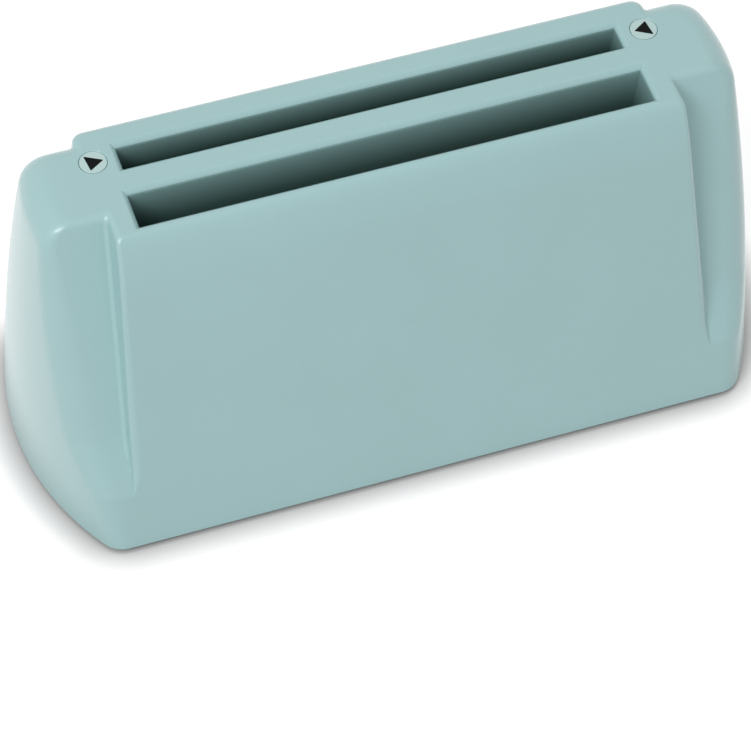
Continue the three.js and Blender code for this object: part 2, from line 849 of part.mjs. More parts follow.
// A compression spring along +Y from the origin, as one wire
function carrierSpring() {
  class Helix extends THREE.Curve {
    getPoint(share, target = new THREE.Vector3()) {
      const angle = 2 * Math.PI * springTurns * share;
      const run = springLength - 2 * springWire - 2 * seat;
      return target.set(
        springRadius * Math.cos(angle),
        springWire + seat + run * share,
        springRadius * Math.sin(angle),
      );
    }
  }
  const wire = new THREE.Shape(circle(0, 0, springWire, 5));
  return solid(
    new THREE.ExtrudeGeometry(wire, {
      steps: springTurns * springStepsPerTurn,
      bevelEnabled: false,
      extrudePath: new Helix(),
    }),
  );
}

function middleBush(side) {
  const inner = frameInside - bushFlange;
  const profile = [
    [inner, shaftRadius + boreGap],
    [inner, bushFlangeRadius],
    [frameInside, bushFlangeRadius],
    [frameInside, bushRadius],
    [frameOuterX + seat, bushRadius],
    [frameOuterX + seat, shaftRadius + boreGap],
    [inner, shaftRadius + boreGap],
  ];
  return turnedX(profile.map(([x, radius]) => [side * x, radius]));
}

function tieBar() {
  const end = frameOuterX + tieBarOverhang;
  return turnedX([
    [-end, 0],
    [-end, tieBarNeckRadius],
    [-frameInside, tieBarNeckRadius],
    [-frameInside, tieBarRadius],
    [frameInside, tieBarRadius],
    [frameInside, tieBarNeckRadius],
    [end, tieBarNeckRadius],
    [end, 0],
  ]);
}

// Drive

function driveMotor() {
  const back = frameInside - motorLength;
  const neckEnd = frameInside + motorNeckLength;
  const shaftEnd = gearX + gearThickness + motorShaftEnd;
  const can = turnedX([
    [back - motorStep, 0],
    [back - motorStep, motorNeckRadius],
    [back, motorNeckRadius],
    [back, motorRadius - motorStep],
    [back + motorStep, motorRadius],
    [frameInside, motorRadius],
    [frameInside, motorNeckRadius],
    [neckEnd, motorNeckRadius],
    [neckEnd, motorShaftRadius],
    [shaftEnd, motorShaftRadius],
    [shaftEnd, 0],
  ]);
  const boreRadius = screwThreadRadius + screwClearance;
  const bore = turnedX(rod([frameInside - motorScrewBore, frameInside + cutOverrun], boreRadius), 12);
  const screwBores = [-motorScrewOffset, motorScrewOffset].map((offset) => bore.translate(0, offset, 0));
  return cut(can, ...screwBores);
}

function motorPinion() {
  return gear(pinionTeeth, pinionPhase, motorShaftRadius + boreGap);
}

function idlerStud() {
  const headEnd = frameInside - studHead;
  const collar = [frameOuterX + seat, gearX - seat];
  const lip = gearX + gearThickness + seat;
  const profile = [
    [headEnd, 0],
    [headEnd, studHeadRadius],
    [frameInside, studHeadRadius],
    [frameInside, shaftRadius],
    [collar[0], shaftRadius],
    [collar[0], studHeadRadius],
    [collar[1], studHeadRadius],
    [collar[1], shaftRadius],
    [lip, shaftRadius],
    [lip, studLipRadius],
    [lip + studLip, studLipRadius],
    [lip + studLip, 0],
  ];
  return turnedX(profile, 12);
}

// Fold chamber

const plateBottom = stopTopZ - stopRidgeRise + seat;

function rearFoldPlate() {
  const back = chamberBackY + sheetMetal;
  return prismX(
    outlineOf([
      [chamberBackY, plateBottom],
      [back, plateBottom],
      [back, rearPlateTop - sheetMetal / 2],
      [back + plateLipRun, rearPlateTop + plateLipRise - sheetMetal],
      [back + plateLipRun - sheetMetal, rearPlateTop + plateLipRise],
      [chamberBackY, rearPlateTop],
    ]),
    [-frameInside, frameInside],
  );
}

function frontFoldPlate() {
  const front = chamberFrontY - sheetMetal;
  return prismX(
    outlineOf([
      [front, plateBottom],
      [chamberFrontY, plateBottom],
      [chamberFrontY, frontPlateTop],
      [chamberFrontY - plateLipRun, frontPlateTop + plateLipRise],
      [front - plateLipRun, frontPlateTop + plateLipRise - sheetMetal],
      [front, frontPlateTop - sheetMetal],
    ]),
    [-frameInside, frameInside],
  );
}

// A channel whose ridge is the stop and whose grooves hold the two plates
function foldStop() {
  const floorTop = stopTopZ - stopRidgeRise;
  const ridge = [chamberFrontY + stopClearance, chamberBackY - stopClearance];
  const grooveFront = chamberFrontY - sheetMetal - stopClearance;
  const grooveBack = chamberBackY + sheetMetal + stopClearance;
  return prismX(
    outlineOf([
      [grooveFront - stopLipWall, floorTop - stopFloor],
      [grooveBack + stopLipWall, floorTop - stopFloor],
      [grooveBack + stopLipWall, floorTop + stopLipRise],
      [grooveBack, floorTop + stopLipRise],
      [grooveBack, floorTop],
      [ridge[1], floorTop],
      [ridge[1], stopTopZ],
      [ridge[0], stopTopZ],
      [ridge[0], floorTop],
      [grooveFront, floorTop],
      [grooveFront, floorTop + stopLipRise],
      [grooveFront - stopLipWall, floorTop + stopLipRise],
    ]),
    [-frameInside, frameInside],
  );
}

// A curved sheet under the middle roller that leads the buckle forward and up into the second nip
function buckleGuide() {
  const start = new THREE.Vector2(
    chamberFrontY - plateLipRun - sheetMetal,
    frontPlateTop + plateLipRise + sheetMetal + seat,
  );
  const clear = middleSleeveRadius + guideSheet + sheetMetal;
  const end = polar(middleAxis, clear, buckleEnd);
  const bendY = middleAxis.y - middlePitchRadius * buckleBendShare;
  const under = new THREE.Vector2(bendY, start.y + sheetMetal);
  const curve = new THREE.QuadraticBezierCurve(start, under, new THREE.Vector2(end.y, end.z));
  const middle = curve.getPoints(2 * guideSteps);
  const offset = (amount) =>
    middle.map((p, i) => {
      const tangent = curve.getTangent(i / (middle.length - 1));
      return new THREE.Vector2(p.x + tangent.y * amount, p.y - tangent.x * amount);
    });
  const half = sheetMetal / 2;
  return prismX([...offset(half), ...offset(-half).reverse()], [-frameInside, frameInside]);
}

// Paper guides

// An arc that keeps the guides' gap over a roller
const overRoller = (axis, radius, from, to) =>
  arc(axis.y, axis.z, radius + guideGap, from, to, guideSteps);

// A guide that leads from a chute's outer edge to the nip, on the side of the rear or front roller
function chuteGuide(axis, outward, chuteY) {
  const topZ = chuteBottomZ - seat;
  const nipAngle = Math.acos(-nipSetback / (outerSleeveRadius + guideGap));
  const over = overRoller({ y: 0, z: axis.z }, outerSleeveRadius, nipAngle, Math.PI / 2).map(
    (p) => new THREE.Vector2(axis.y + outward * p.x, p.y),
  );
  const shelfZ = over.at(-1).y;
  const shelfY = axis.y + outward * guideShelfLength;
  const tip = new THREE.Vector2(over[0].x - outward * guideTipRun, over[0].y + guideTipRise);
  const outline = [
    new THREE.Vector2(chuteY, topZ),
    tip,
    ...over,
    new THREE.Vector2(shelfY, shelfZ),
    new THREE.Vector2(shelfY, shelfZ + guideSheet),
    new THREE.Vector2(chuteY + outward * guideRootRun, shelfZ + guideSheet),
    new THREE.Vector2(chuteY + outward * guideSheet, topZ),
  ];
  return prismX(outline, [-frameInside, frameInside]);
}

function infeedGuide() {
  const notchHalf = leverWidth / 2 + 2 * seat + earThickness;
  const notch = block(
    [sensorX - notchHalf, sensorX + notchHalf],
    [rearSlotY - rearSlotWidth / 2, rearAxis.y + guideSheet],
    [rollerZ, chuteBottomZ],
  );
  return chuteGuide(rearAxis, 1, rearChuteBackY).subtract(notch);
}

function outfeedGuide() {
  return chuteGuide(frontAxis, -1, frontChuteFrontY);
}

// The bridge over the middle roller that keeps the way in and the way out apart
function centreGuide() {
  const topZ = chuteBottomZ - seat;
  const up = Math.PI / 2;
  const under = overRoller(middleAxis, middleSleeveRadius, up - centreReach, up + centreReach);
  return prismX(
    [
      ...under,
      new THREE.Vector2(under.at(-1).x - centreTipRun, under.at(-1).y + guideTipRise),
      new THREE.Vector2(frontSlotY + frontSlotWidth / 2, topZ),
      new THREE.Vector2(rearSlotY - rearSlotWidth / 2, topZ),
      new THREE.Vector2(under[0].x + centreTipRun, under[0].y + guideTipRise),
    ],
    [-frameInside, frameInside],
  );
}

// Paper sensor: a lever on a pin in a bracket, whose flag lies in an optical eye

const leverPinZ = caseHeight - leverPinDepth;
const shelfTopZ = rollerZ + outerSleeveRadius + guideGap + guideSheet;
const bracketBottom = shelfTopZ + seat;

// The lever about its pin
function sensorLever() {
  const tip = new THREE.Vector2(leverTipY - leverPinY, leverPinDepth - leverTipDepth);
  const normal = new THREE.Vector2(-tip.y, tip.x).normalize().multiplyScalar(leverThickness / 2);
  const arm = prismX(
    [
      new THREE.Vector2().sub(normal),
      tip.clone().sub(normal),
      tip.clone().add(normal),
      new THREE.Vector2().add(normal),
    ],
    [-leverWidth / 2, leverWidth / 2],
  );
  const hub = turnedX(rod([-leverWidth / 2, leverWidth / 2], hubRadius), 20);
  const flag = block([-flagWidth / 2, flagWidth / 2], [-flagLength / 2, flagLength / 2], [0, flagRise]);
  const bore = turnedX(rod([-leverWidth, leverWidth], leverPinRadius + boreGap), 16);
  return joined(arm, hub, flag).subtract(bore);
}

function sensorLeverPin() {
  return turnedX(rod([-leverPinHalfLength, leverPinHalfLength], leverPinRadius), 16);
}

// A sheet on the infeed guide's shelf, with two ears for the pin and a raised back for the eye
function sensorBracket() {
  const frontY = leverPinY - earRadius;
  const floor = block(
    [-bracketLength / 2, bracketLength / 2],
    [frontY, bracketBackY],
    [bracketBottom, bracketBottom + bracketSheet],
  );
  const earX = leverWidth / 2 + 2 * seat;
  const ears = [-1, 1].map((side) => {
    const x = [side * earX, side * (earX + earThickness)];
    const post = block(x, [frontY, leverPinY + earRadius], [bracketBottom, leverPinZ]);
    const eye = prismX(circle(leverPinY, leverPinZ, earRadius, 16), x);
    return post.add(eye);
  });
  const bore = turnedX(rod([-bracketLength, bracketLength], leverPinRadius + boreGap), 16)
    .translate(0, leverPinY, leverPinZ);
  const back = block(
    [-bracketLength / 2, -bracketLength / 2 + bracketPostWidth],
    [bracketBackY - bracketPostDepth, bracketBackY],
    [bracketBottom, leverPinZ + flagRise + eyeBase],
  );
  return joined(floor, ...ears, back).subtract(bore);
}

// A forked optical eye that straddles the lever's flag, held on the bracket's back post
function paperSensor() {
  const top = leverPinZ + flagRise + eyeBase;
  const bottom = top - eyeBase - eyeHeight;
  const x = [-bracketLength / 2 + bracketPostWidth + seat, eyeWidth / 2];
  const y = [leverPinY - eyeDepth / 2, leverPinY + eyeDepth / 2];
  const body = block(x, y, [bottom, top]);
  const gap = block(
    [-eyeSlot / 2, eyeSlot / 2],
    [y[0] - cutOverrun, y[1] + cutOverrun],
    [bottom - cutOverrun, top - eyeBase + seat],
  );
  const ear = block([x[0], -eyeWidth / 2], [y[0], bracketBackY], [bottom, top]);
  return body.add(ear).subtract(gap);
}

// Electrics

function controlBoard() {
  const z0 = basePlateTop + boardRise + seat;
  const z1 = z0 + boardThickness;
  const board = prismZ(
    rectangle([-boardLength / 2, boardLength / 2], [-boardWidth / 2, boardWidth / 2]),
    [z0, z1],
  );
  const sunk = z1 - boardThickness / 2;
  const capacitors = [-1, 1].map((side) =>
    turnedZ(rod([sunk, z1 + capacitorHeight], capacitorRadius), 16)
      .translate(capacitorX, side * capacitorY, 0),
  );
  const relay = block(
    [relayX, relayX + relayLength],
    [-relayWidth / 2, relayWidth / 2],
    [sunk, z1 + relayHeight],
  );
  const plugs = [-1, 1].map((side) => {
    const y = side * (boardWidth / 2 - plugWidth);
    return block(
      [-plugLength / 2, plugLength / 2],
      [y - plugWidth / 2, y + plugWidth / 2],
      [sunk, z1 + plugHeight],
    );
  });
  return joined(board, ...capacitors, relay, ...plugs).translate(boardX, boardY, 0);
}

// The direct-current jack, about its own axis, with its flange on the recess's panel
function powerInlet() {
  const face = seat + inletFlange;
  const back = seat - inletLength;
  const floor = face - inletBoreDepth;
  return turnedY([
    [back, 0],
    [back, inletRadius],
    [seat, inletRadius],
    [seat, inletFlangeRadius],
    [face, inletFlangeRadius],
    [face, inletBore],
    [floor, inletBore],
    [floor, inletPinRadius],
    [face - inletFlange, inletPinRadius],
    [face - inletFlange, 0],
  ]);
}

// The switch body snaps into the panel; its well holds the rocker
function rockerSwitchBody() {
  const bezelX = switchWidth / 2 + switchBezel;
  const bezelZ = switchLength / 2 + switchBezel;
  const bezel = block([-bezelX, bezelX], [seat, seat + switchBezelDepth], [-bezelZ, bezelZ]);
  const body = block(
    [-switchWidth / 2, switchWidth / 2],
    [seat - switchBodyDepth, seat + switchBezelDepth / 2],
    [-switchLength / 2, switchLength / 2],
  );
  const innerX = switchWidth / 2 - switchBezel;
  const innerZ = switchLength / 2 - switchBezel;
  const well = block(
    [-innerX, innerX],
    [seat + switchBezelDepth - switchWell, seat + switchBezelDepth + cutOverrun],
    [-innerZ, innerZ],
  );
  return bezel.add(body).subtract(well);
}

// The rocker about its pivot: two faces that meet in a shallow valley, over a round belly
function rockerButton() {
  const halfX = switchWidth / 2 - switchBezel - rockerGap;
  const halfZ = switchLength / 2 - switchBezel - 2 * rockerGap;
  const bellyZ = halfZ * rockerBellyShare;
  const outline = outlineOf([
    [-rockerCrown, -bellyZ],
    [rockerCrown, -halfZ],
    [rockerCrown + rockerGap, -halfZ],
    [rockerCrown - rockerGap, 0],
    [rockerCrown + rockerGap, halfZ],
    [rockerCrown, halfZ],
    [-rockerCrown, bellyZ],
  ]);
  return prismX(outline, [-halfX, halfX]);
}

// Materials
const finish = (color, roughness, metalness = 0) =>
  new THREE.MeshStandardMaterial({ color, roughness, metalness });
const finishes = {
  casePlastic: finish(0xa5c6c4, 0.55),
  discPlastic: finish(0xb4d2cf, 0.4),
  blackPlastic: finish(0x1d1f20, 0.5),
  ivoryPlastic: finish(0xd9d4c3, 0.45),
  steel: finish(0xa9adb0, 0.35, 1),
  zincPlate: finish(0xb9bcae, 0.4, 1),
  springSteel: finish(0x8d9196, 0.3, 1),
  rubber: finish(0x26282a, 0.85),
  bronze: finish(0xa98047, 0.45, 1),
  boardGreen: finish(0x1d5b3a, 0.5),
};

// Assembly

const machine = new THREE.Group();

function place(name, body, material, x = 0, y = 0, z = 0, parent = machine) {
  const mesh = new THREE.Mesh(geometryOf(body), material);
  mesh.name = name;
  mesh.position.set(x, y, z);
  parent.add(mesh);
  return mesh;
}

const sides = [
  { name: "left", side: -1 },
  { name: "right", side: 1 },
];

place("upper_housing", upperHousing(), finishes.casePlastic);
for (const { name, side } of sides) {
  const disc = indicatorDisc();
  place(`${name}_indicator_disc`, disc, finishes.discPlastic, side * discX, rearSlotY, caseHeight);
}

place("base_plate", basePlate(), finishes.blackPlastic);
for (const { name, x, y } of footPlaces) place(name, rubberFoot(), finishes.rubber, x, y);
const screwZ = basePlateRise - seat / 2;
for (const { name, x, y } of bossPlaces) {
  const screw = panScrew(screwLength, basePlateThickness + seat);
  place(`base_screw_${name}`, screw, finishes.zincPlate, x, y, screwZ);
}
for (const { name, x, y } of flangeScrewPlaces) {
  const length = basePlateThickness + frameThickness + 2 * seat;
  place(`frame_screw_${name}`, panScrew(length + seat, length), finishes.zincPlate, x, y, screwZ);
}

for (const { name, side } of sides) {
  place(`${name}_side_frame`, sideFrame(side), finishes.zincPlate);
  place(`${name}_middle_bush`, middleBush(side), finishes.bronze, 0, middleAxis.y, middleAxis.z);
}
place("front_tie_bar", tieBar(), finishes.steel, 0, frontTieBarY, tieBarZ);
place("rear_tie_bar", tieBar(), finishes.steel, 0, rearTieBarY, tieBarZ);

const rollers = [
  { name: "rear", axis: rearAxis, radius: outerSleeveRadius, teeth: outerTeeth, phase: rearPhase },
  { name: "middle", axis: middleAxis, radius: middleSleeveRadius, teeth: middleTeeth, phase: middlePhase },
  { name: "front", axis: frontAxis, radius: outerSleeveRadius, teeth: outerTeeth, phase: frontPhase },
];
for (const { name, axis, radius, teeth, phase } of rollers) {
  const roller = new THREE.Group();
  roller.position.set(0, axis.y, axis.z);
  machine.add(roller);
  place(`${name}_roller_shaft`, rollerShaft(), finishes.steel, 0, 0, 0, roller);
  place(`${name}_roller_sleeve`, rollerSleeve(radius), finishes.rubber, 0, 0, 0, roller);
  const rollerGear = gear(teeth, phase, shaftRadius + boreGap);
  place(`${name}_roller_gear`, rollerGear, finishes.ivoryPlastic, 0, 0, 0, roller);
}

for (const { axis, outward } of frameWindows) {
  const row = outward > 0 ? "rear" : "front";
  for (const { name, side } of sides) {
    place(`${row}_${name}_bearing_carrier`, bearingCarrier(side), finishes.ivoryPlastic, 0, axis.y, axis.z);
    const spring = place(
      `${row}_${name}_carrier_spring`,
      carrierSpring(),
      finishes.springSteel,
      side * (frameX + frameThickness / 2),
      axis.y + outward * carrierHalfLength,
      axis.z,
    );
    if (outward < 0) spring.rotation.z = Math.PI;
  }
}

place("drive_motor", driveMotor(), finishes.steel, 0, motorAxis.y, motorAxis.z);
place("motor_pinion", motorPinion(), finishes.ivoryPlastic, 0, motorAxis.y, motorAxis.z);
[-1, 1].forEach((side) => {
  const length = frameThickness + seat;
  const screw = place(
    side < 0 ? "motor_screw_front" : "motor_screw_rear",
    panScrew(length + motorScrewGrip, length),
    finishes.zincPlate,
    frameOuterX + seat / 2,
    motorAxis.y + side * motorScrewOffset,
    motorAxis.z,
  );
  screw.rotation.y = -Math.PI / 2;
});
const idlerGear = gear(idlerTeeth, idlerPhase, shaftRadius + boreGap);
place("idler_gear", idlerGear, finishes.ivoryPlastic, 0, idlerAxis.y, idlerAxis.z);
place("idler_stud", idlerStud(), finishes.steel, 0, idlerAxis.y, idlerAxis.z);

place("rear_fold_plate", rearFoldPlate(), finishes.zincPlate);
place("front_fold_plate", frontFoldPlate(), finishes.zincPlate);
place("fold_stop", foldStop(), finishes.blackPlastic);
place("buckle_guide", buckleGuide(), finishes.zincPlate);
place("infeed_guide", infeedGuide(), finishes.blackPlastic);
place("outfeed_guide", outfeedGuide(), finishes.blackPlastic);
place("centre_guide", centreGuide(), finishes.blackPlastic);

place("sensor_lever", sensorLever(), finishes.blackPlastic, sensorX, leverPinY, leverPinZ);
place("sensor_lever_pin", sensorLeverPin(), finishes.steel, sensorX, leverPinY, leverPinZ);
place("sensor_bracket", sensorBracket(), finishes.ivoryPlastic, sensorX);
place("paper_sensor", paperSensor(), finishes.blackPlastic, sensorX);

place("control_board", controlBoard(), finishes.boardGreen);
place("power_inlet", powerInlet(), finishes.blackPlastic, inletX, servicePanelY, serviceZ);
place("rocker_switch_body", rockerSwitchBody(), finishes.blackPlastic, switchX, servicePanelY, serviceZ);
const rocker = rockerButton();
const rockerMesh = place("rocker_button", rocker, finishes.blackPlastic, switchX, servicePanelY, serviceZ);
rockerMesh.rotation.x = rockerTilt;

export default machine;
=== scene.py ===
import json
import math

import bmesh
import bpy
from mathutils import Matrix, Vector


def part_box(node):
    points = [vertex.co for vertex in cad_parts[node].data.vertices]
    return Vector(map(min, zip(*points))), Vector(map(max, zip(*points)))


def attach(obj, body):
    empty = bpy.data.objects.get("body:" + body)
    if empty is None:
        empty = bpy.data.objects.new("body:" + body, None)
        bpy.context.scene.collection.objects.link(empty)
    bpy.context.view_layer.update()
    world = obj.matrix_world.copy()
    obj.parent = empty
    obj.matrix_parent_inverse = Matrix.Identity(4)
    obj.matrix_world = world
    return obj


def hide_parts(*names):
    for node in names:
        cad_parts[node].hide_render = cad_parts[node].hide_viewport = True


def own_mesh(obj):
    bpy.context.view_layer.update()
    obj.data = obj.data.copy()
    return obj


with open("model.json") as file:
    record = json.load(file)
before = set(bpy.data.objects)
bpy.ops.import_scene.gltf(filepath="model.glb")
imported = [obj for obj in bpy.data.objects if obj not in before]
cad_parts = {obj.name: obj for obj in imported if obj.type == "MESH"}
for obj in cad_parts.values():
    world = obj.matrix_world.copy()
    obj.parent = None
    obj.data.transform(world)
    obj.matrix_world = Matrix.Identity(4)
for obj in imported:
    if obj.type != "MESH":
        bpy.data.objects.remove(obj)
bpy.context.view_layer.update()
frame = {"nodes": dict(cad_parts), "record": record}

# A desk letter folder. Shapes are drawn in millimetres and become meshes in metres.
metre = 1000

# Camera: where it stands, and how its picture lies
camera_place = (-339.92, -940.91, 1328.75)
camera_yaw = math.radians(19.683)
camera_pitch = math.radians(53.335)
camera_roll = math.radians(1.523)
camera_reach = 100000
focal_pixels = 3714.4
picture_height_pixels = 756
sensor_side = 36

# Studio: a white floor that darkens where the case stands close, an even dome, and one soft key light
white = (1, 1, 1, 1)
black = (0, 0, 0, 1)
floor_side = 6000
floor_thickness = 20
floor_grey = 0.45
floor_roughness = 0.9
floor_white = 0.74
contact_reach = 16
contact_shade = 2.8
contact_samples = 16
dome_light = 0.57
backdrop_white = 1.0
key_place = (-1500, -1150, 2150)
key_aim = (0, 0, 60)
key_side = 1300
key_power = 32


def frame_box(node):
    low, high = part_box(node)
    return low * metre, high * metre


# Case: overall form
case_low, case_high = frame_box("upper_housing")
case_height = case_high.z
foot_rise = case_low.z
case_half_depth = case_high.y
skirt_depth = case_height - foot_rise
wall = 2.5
cut_overrun = 1
seat = 0.3

# Case: ends, which bow outwards in plan and lean outwards to the base
end_half_width_top = 152.3
end_half_width_base = case_high.x
end_swell = 2
end_arc_top = 83.5
end_arc_base = 127
end_centre_y = 9.6
end_round = 12

# Case: shoulders beside the centre block, and the recesses in front of them
shoulder_front_y = -6.6
shoulder_back_y = 36
shoulder_round = 2.8
shoulder_back_round = 9
front_corner_top = 4.5
front_corner_base = 11.4
front_corner_swell = 7
back_corner_top = 10.5
back_corner_base = 15.5
skirt_band = 26
ledge_rise = 23.5
recess_step = 8.2
recess_end_depth = skirt_depth - skirt_band
recess_bend_depth = recess_end_depth - ledge_rise
ledge_blend = 2.5

# Case: centre block, which carries the slots and the sloping front panel
block_half_width = 123.6
block_flare = 9.8
block_front_y = -23.9
block_back_y = 41
block_round = 4.5
block_roll = 5.5
block_roll_reach = 24
strip_widening = 2.4
block_side_round = 3
block_front_corner_top = 2
block_front_corner_base = 4.7
block_back_corner = 5
foot_round = 2.2
inner_round = 0.5

# How finely the case is drawn
shoulder_rounds = (end_round, shoulder_round, shoulder_back_round)
block_rounds = (block_round, block_side_round, block_roll_reach)
round_steps = 9
wall_steps = 14
ledge_steps = 16
corner_steps = 7
bow_steps = 30
blend_steps = 6
merge_distance = 1e-4

# Slots and their chutes
rear_slot_y = 22.3
slot_spacing = 28.5
front_slot_y = rear_slot_y - slot_spacing
front_slot_length = 224.2
front_slot_width = 17.3
rear_slot_length = 219.8
rear_slot_width = 11.4
lip_depth = 2.2
lip_run = 2.4
lip_roof_bend = 0.9
lip_wall_bend = 2.6
lip_run_out = 3
lip_steps = 7
chute_depth = 30
chute_wall = 2
chute_end_draft_share = 0.08
chute_wall_draft_share = 0.02

# Painted shade in the chutes: a first step under the lip, then more with depth. The rear one has more
# painted shade.
chute_painted_shade_code = 0x2A4A40
chute_shade_start = 1.5
chute_shade_depth = 20
chute_step_start = 0.04
chute_step_share = 0.3
chute_fade_share = 0.55
front_chute_painted_shade = 1.0
rear_chute_painted_shade = 1.3

# Indicator discs and their pointers
disc_low, disc_high = frame_box("right_indicator_disc")
disc_x = (disc_low.x + disc_high.x) / 2
disc_y = (disc_low.y + disc_high.y) / 2
disc_radius = (disc_high.x - disc_low.x) / 2
disc_gap = 0.16
disc_dip = 0.08
disc_edge_round = 0.3
disc_rim_round = 0.6
disc_sides = 96
rim_steps = 5
pointer_rise = 0.05
pointer_corner = 0.45

# Finish and edges of the meshes
facet_angle = math.radians(32)
flat_weight = 100
flat_tolerance = math.radians(0.5)
edge_break = 0.18
edge_segments = 2


# Outlines

def arc(centre_x, centre_y, radius, start, end, steps):
    """Points on an arc, both ends included."""
    angles = (start + (end - start) * i / steps for i in range(steps + 1))
    return [(centre_x + radius * math.cos(a), centre_y + radius * math.sin(a)) for a in angles]


def mirrored(points):
    return [(-x, y) for x, y in reversed(points)]


def rectangle(x, y):
    return [(x[0], y[0]), (x[1], y[0]), (x[1], y[1]), (x[0], y[1])]


def rod(ends, radius):
    """The profile of a plain rod or disc, for turning."""
    return [(ends[0], 0), (ends[0], radius), (ends[1], radius), (ends[1], 0)]


def bent_alike(points, bend):
    return [(*point, bend) for point in points]


def softened(corners, steps=4, closed=True):
    """An outline or profile of corners (x, y, bend), each rounded by about its own bend."""
    made = []
    count = len(corners)
    places = [Vector(corner[:2]) for corner in corners]
    for i, (here, corner) in enumerate(zip(places, corners)):
        if not closed and i in (0, count - 1):
            made.append(tuple(corner[:2]))
            continue
        bend = corner[2]
        before = places[i - 1] - here
        after = places[(i + 1) % count] - here
        start = here + before.normalized() * min(bend, before.length / 2)
        end = here + after.normalized() * min(bend, after.length / 2)
        for step in range(steps + 1):
            share = step / steps
            made.append(tuple(start.lerp(here, share).lerp(here.lerp(end, share), share)))
    return made


# Case sections

def leaning(top, base, depth):
    """A value that changes evenly from the roof to the case's lower edge."""
    return top + (base - top) * depth / skirt_depth


def swelling(depth):
    """0 at the roof and at the lower edge, and 1 halfway down."""
    share = depth / skirt_depth
    return 4 * share * (1 - share)


def case_front_at(depth):
    return leaning(block_front_y, -case_half_depth, depth)


def case_back_at(depth):
    return leaning(block_back_y, case_half_depth, depth)


recess_bend_y = case_front_at(recess_bend_depth) + recess_step


def shoulder_line_at(depth):
    """The recess floor, the ledge under it, and the skirt in the panel's plane, with sharp bends."""
    if depth >= recess_end_depth:
        return case_front_at(depth)
    if depth <= recess_bend_depth:
        return shoulder_front_y + (recess_bend_y - shoulder_front_y) * depth / recess_bend_depth
    share = (depth - recess_bend_depth) / (recess_end_depth - recess_bend_depth)
    return recess_bend_y + (case_front_at(recess_end_depth) - recess_bend_y) * share


def shoulder_front_at(depth):
    """The same with soft bends: its mean over a short stretch above and below, as far as the skirt."""
    reach = max(0.0, min(ledge_blend, recess_end_depth - depth))
    stretch = [reach * (2 * i / blend_steps - 1) for i in range(blend_steps + 1)]
    return sum(shoulder_line_at(depth + step) for step in stretch) / len(stretch)


def drawn_in(depth, radius, reach=None):
    """How far a rounded top edge draws a wall in, at a depth below the roof. The round may reach deeper."""
    reach = reach or radius
    if depth >= reach:
        return 0
    return radius * (1 - math.sqrt(1 - (1 - max(depth, 0) / reach) ** 2))


def case_section(depth, inset):
    """Plan of the case at a depth below the roof, drawn in by a wall."""

    def round_of(radius):
        return drawn_in(depth - inset, max(radius - inset, inner_round))

    end_x = leaning(end_half_width_top, end_half_width_base, depth) + end_swell * swelling(depth)
    end_x -= inset + round_of(end_round)
    front_y = shoulder_front_at(depth) + inset + round_of(shoulder_round)
    back_y = leaning(shoulder_back_y, case_half_depth, depth) - inset - round_of(shoulder_back_round)
    block_x = leaning(block_half_width, block_half_width + block_flare, depth)
    block_x -= inset + round_of(block_side_round)
    strip_x = block_x + strip_widening
    roll = drawn_in(depth - inset, max(block_roll - inset, inner_round), block_roll_reach)
    panel_y = min(case_front_at(depth) + inset + roll, front_y)
    strip_y = max(case_back_at(depth) - inset - round_of(block_round), back_y)
    block_corner = leaning(block_front_corner_top, block_front_corner_base, depth)
    panel_corner = min(max(block_corner - inset, inner_round), front_y - panel_y)
    strip_corner = min(max(block_back_corner - inset, inner_round), strip_y - back_y)
    front_foot = min(foot_round, front_y - panel_y - panel_corner)
    back_foot = min(foot_round, strip_y - back_y - strip_corner)
    bow = leaning(end_arc_top, end_arc_base, depth) - inset
    front_corner = leaning(front_corner_top, front_corner_base, depth) - inset
    front_corner += front_corner_swell * swelling(depth)
    back_corner = leaning(back_corner_top, back_corner_base, depth) - inset
    bow_x = end_x - bow

    def corner_x(corner, y):
        return bow_x + math.sqrt((bow - corner) ** 2 - (y - end_centre_y) ** 2)

    front_centre_y = front_y + front_corner
    back_centre_y = back_y - back_corner
    front_x = corner_x(front_corner, front_centre_y)
    back_x = corner_x(back_corner, back_centre_y)
    front_angle = math.atan2(front_centre_y - end_centre_y, front_x - bow_x)
    back_angle = math.atan2(back_centre_y - end_centre_y, back_x - bow_x)
    down, up = -math.pi / 2, math.pi / 2
    right = [
        *arc(block_x - panel_corner, panel_y + panel_corner, panel_corner, down, 0, corner_steps),
        *arc(block_x + front_foot, front_y - front_foot, front_foot, math.pi, up, corner_steps),
        *arc(front_x, front_centre_y, front_corner, down, front_angle, corner_steps),
        *arc(bow_x, end_centre_y, bow, front_angle, back_angle, bow_steps)[1:-1],
        *arc(back_x, back_centre_y, back_corner, back_angle, up, corner_steps),
        *arc(strip_x + back_foot, back_y + back_foot, back_foot, down, -math.pi, corner_steps),
        *arc(strip_x - strip_corner, strip_y - strip_corner, strip_corner, 0, up, corner_steps),
    ]
    return [*right, *mirrored(right)]


def case_depths(inset, bottom):
    """Levels for the case's skin: each rounded edge in even steps of angle, then walls and ledge."""
    depths = {inset, bottom}
    for radius in shoulder_rounds + block_rounds:
        inner = max(radius - inset, inner_round)
        for step in range(1, round_steps + 1):
            depths.add(inset + inner * (1 - math.cos(math.pi / 2 * step / round_steps)))
    top_of_ledge = recess_bend_depth - 2 * ledge_blend
    lowest_round = inset + max(end_round - inset, inner_round)
    for step in range(1, wall_steps):
        depths.add(lowest_round + (top_of_ledge - lowest_round) * step / wall_steps)
    for step in range(ledge_steps + 1):
        depths.add(top_of_ledge + (recess_end_depth - top_of_ledge) * step / ledge_steps)
    return sorted(depths, reverse=True)


# Meshes, drawn in millimetres

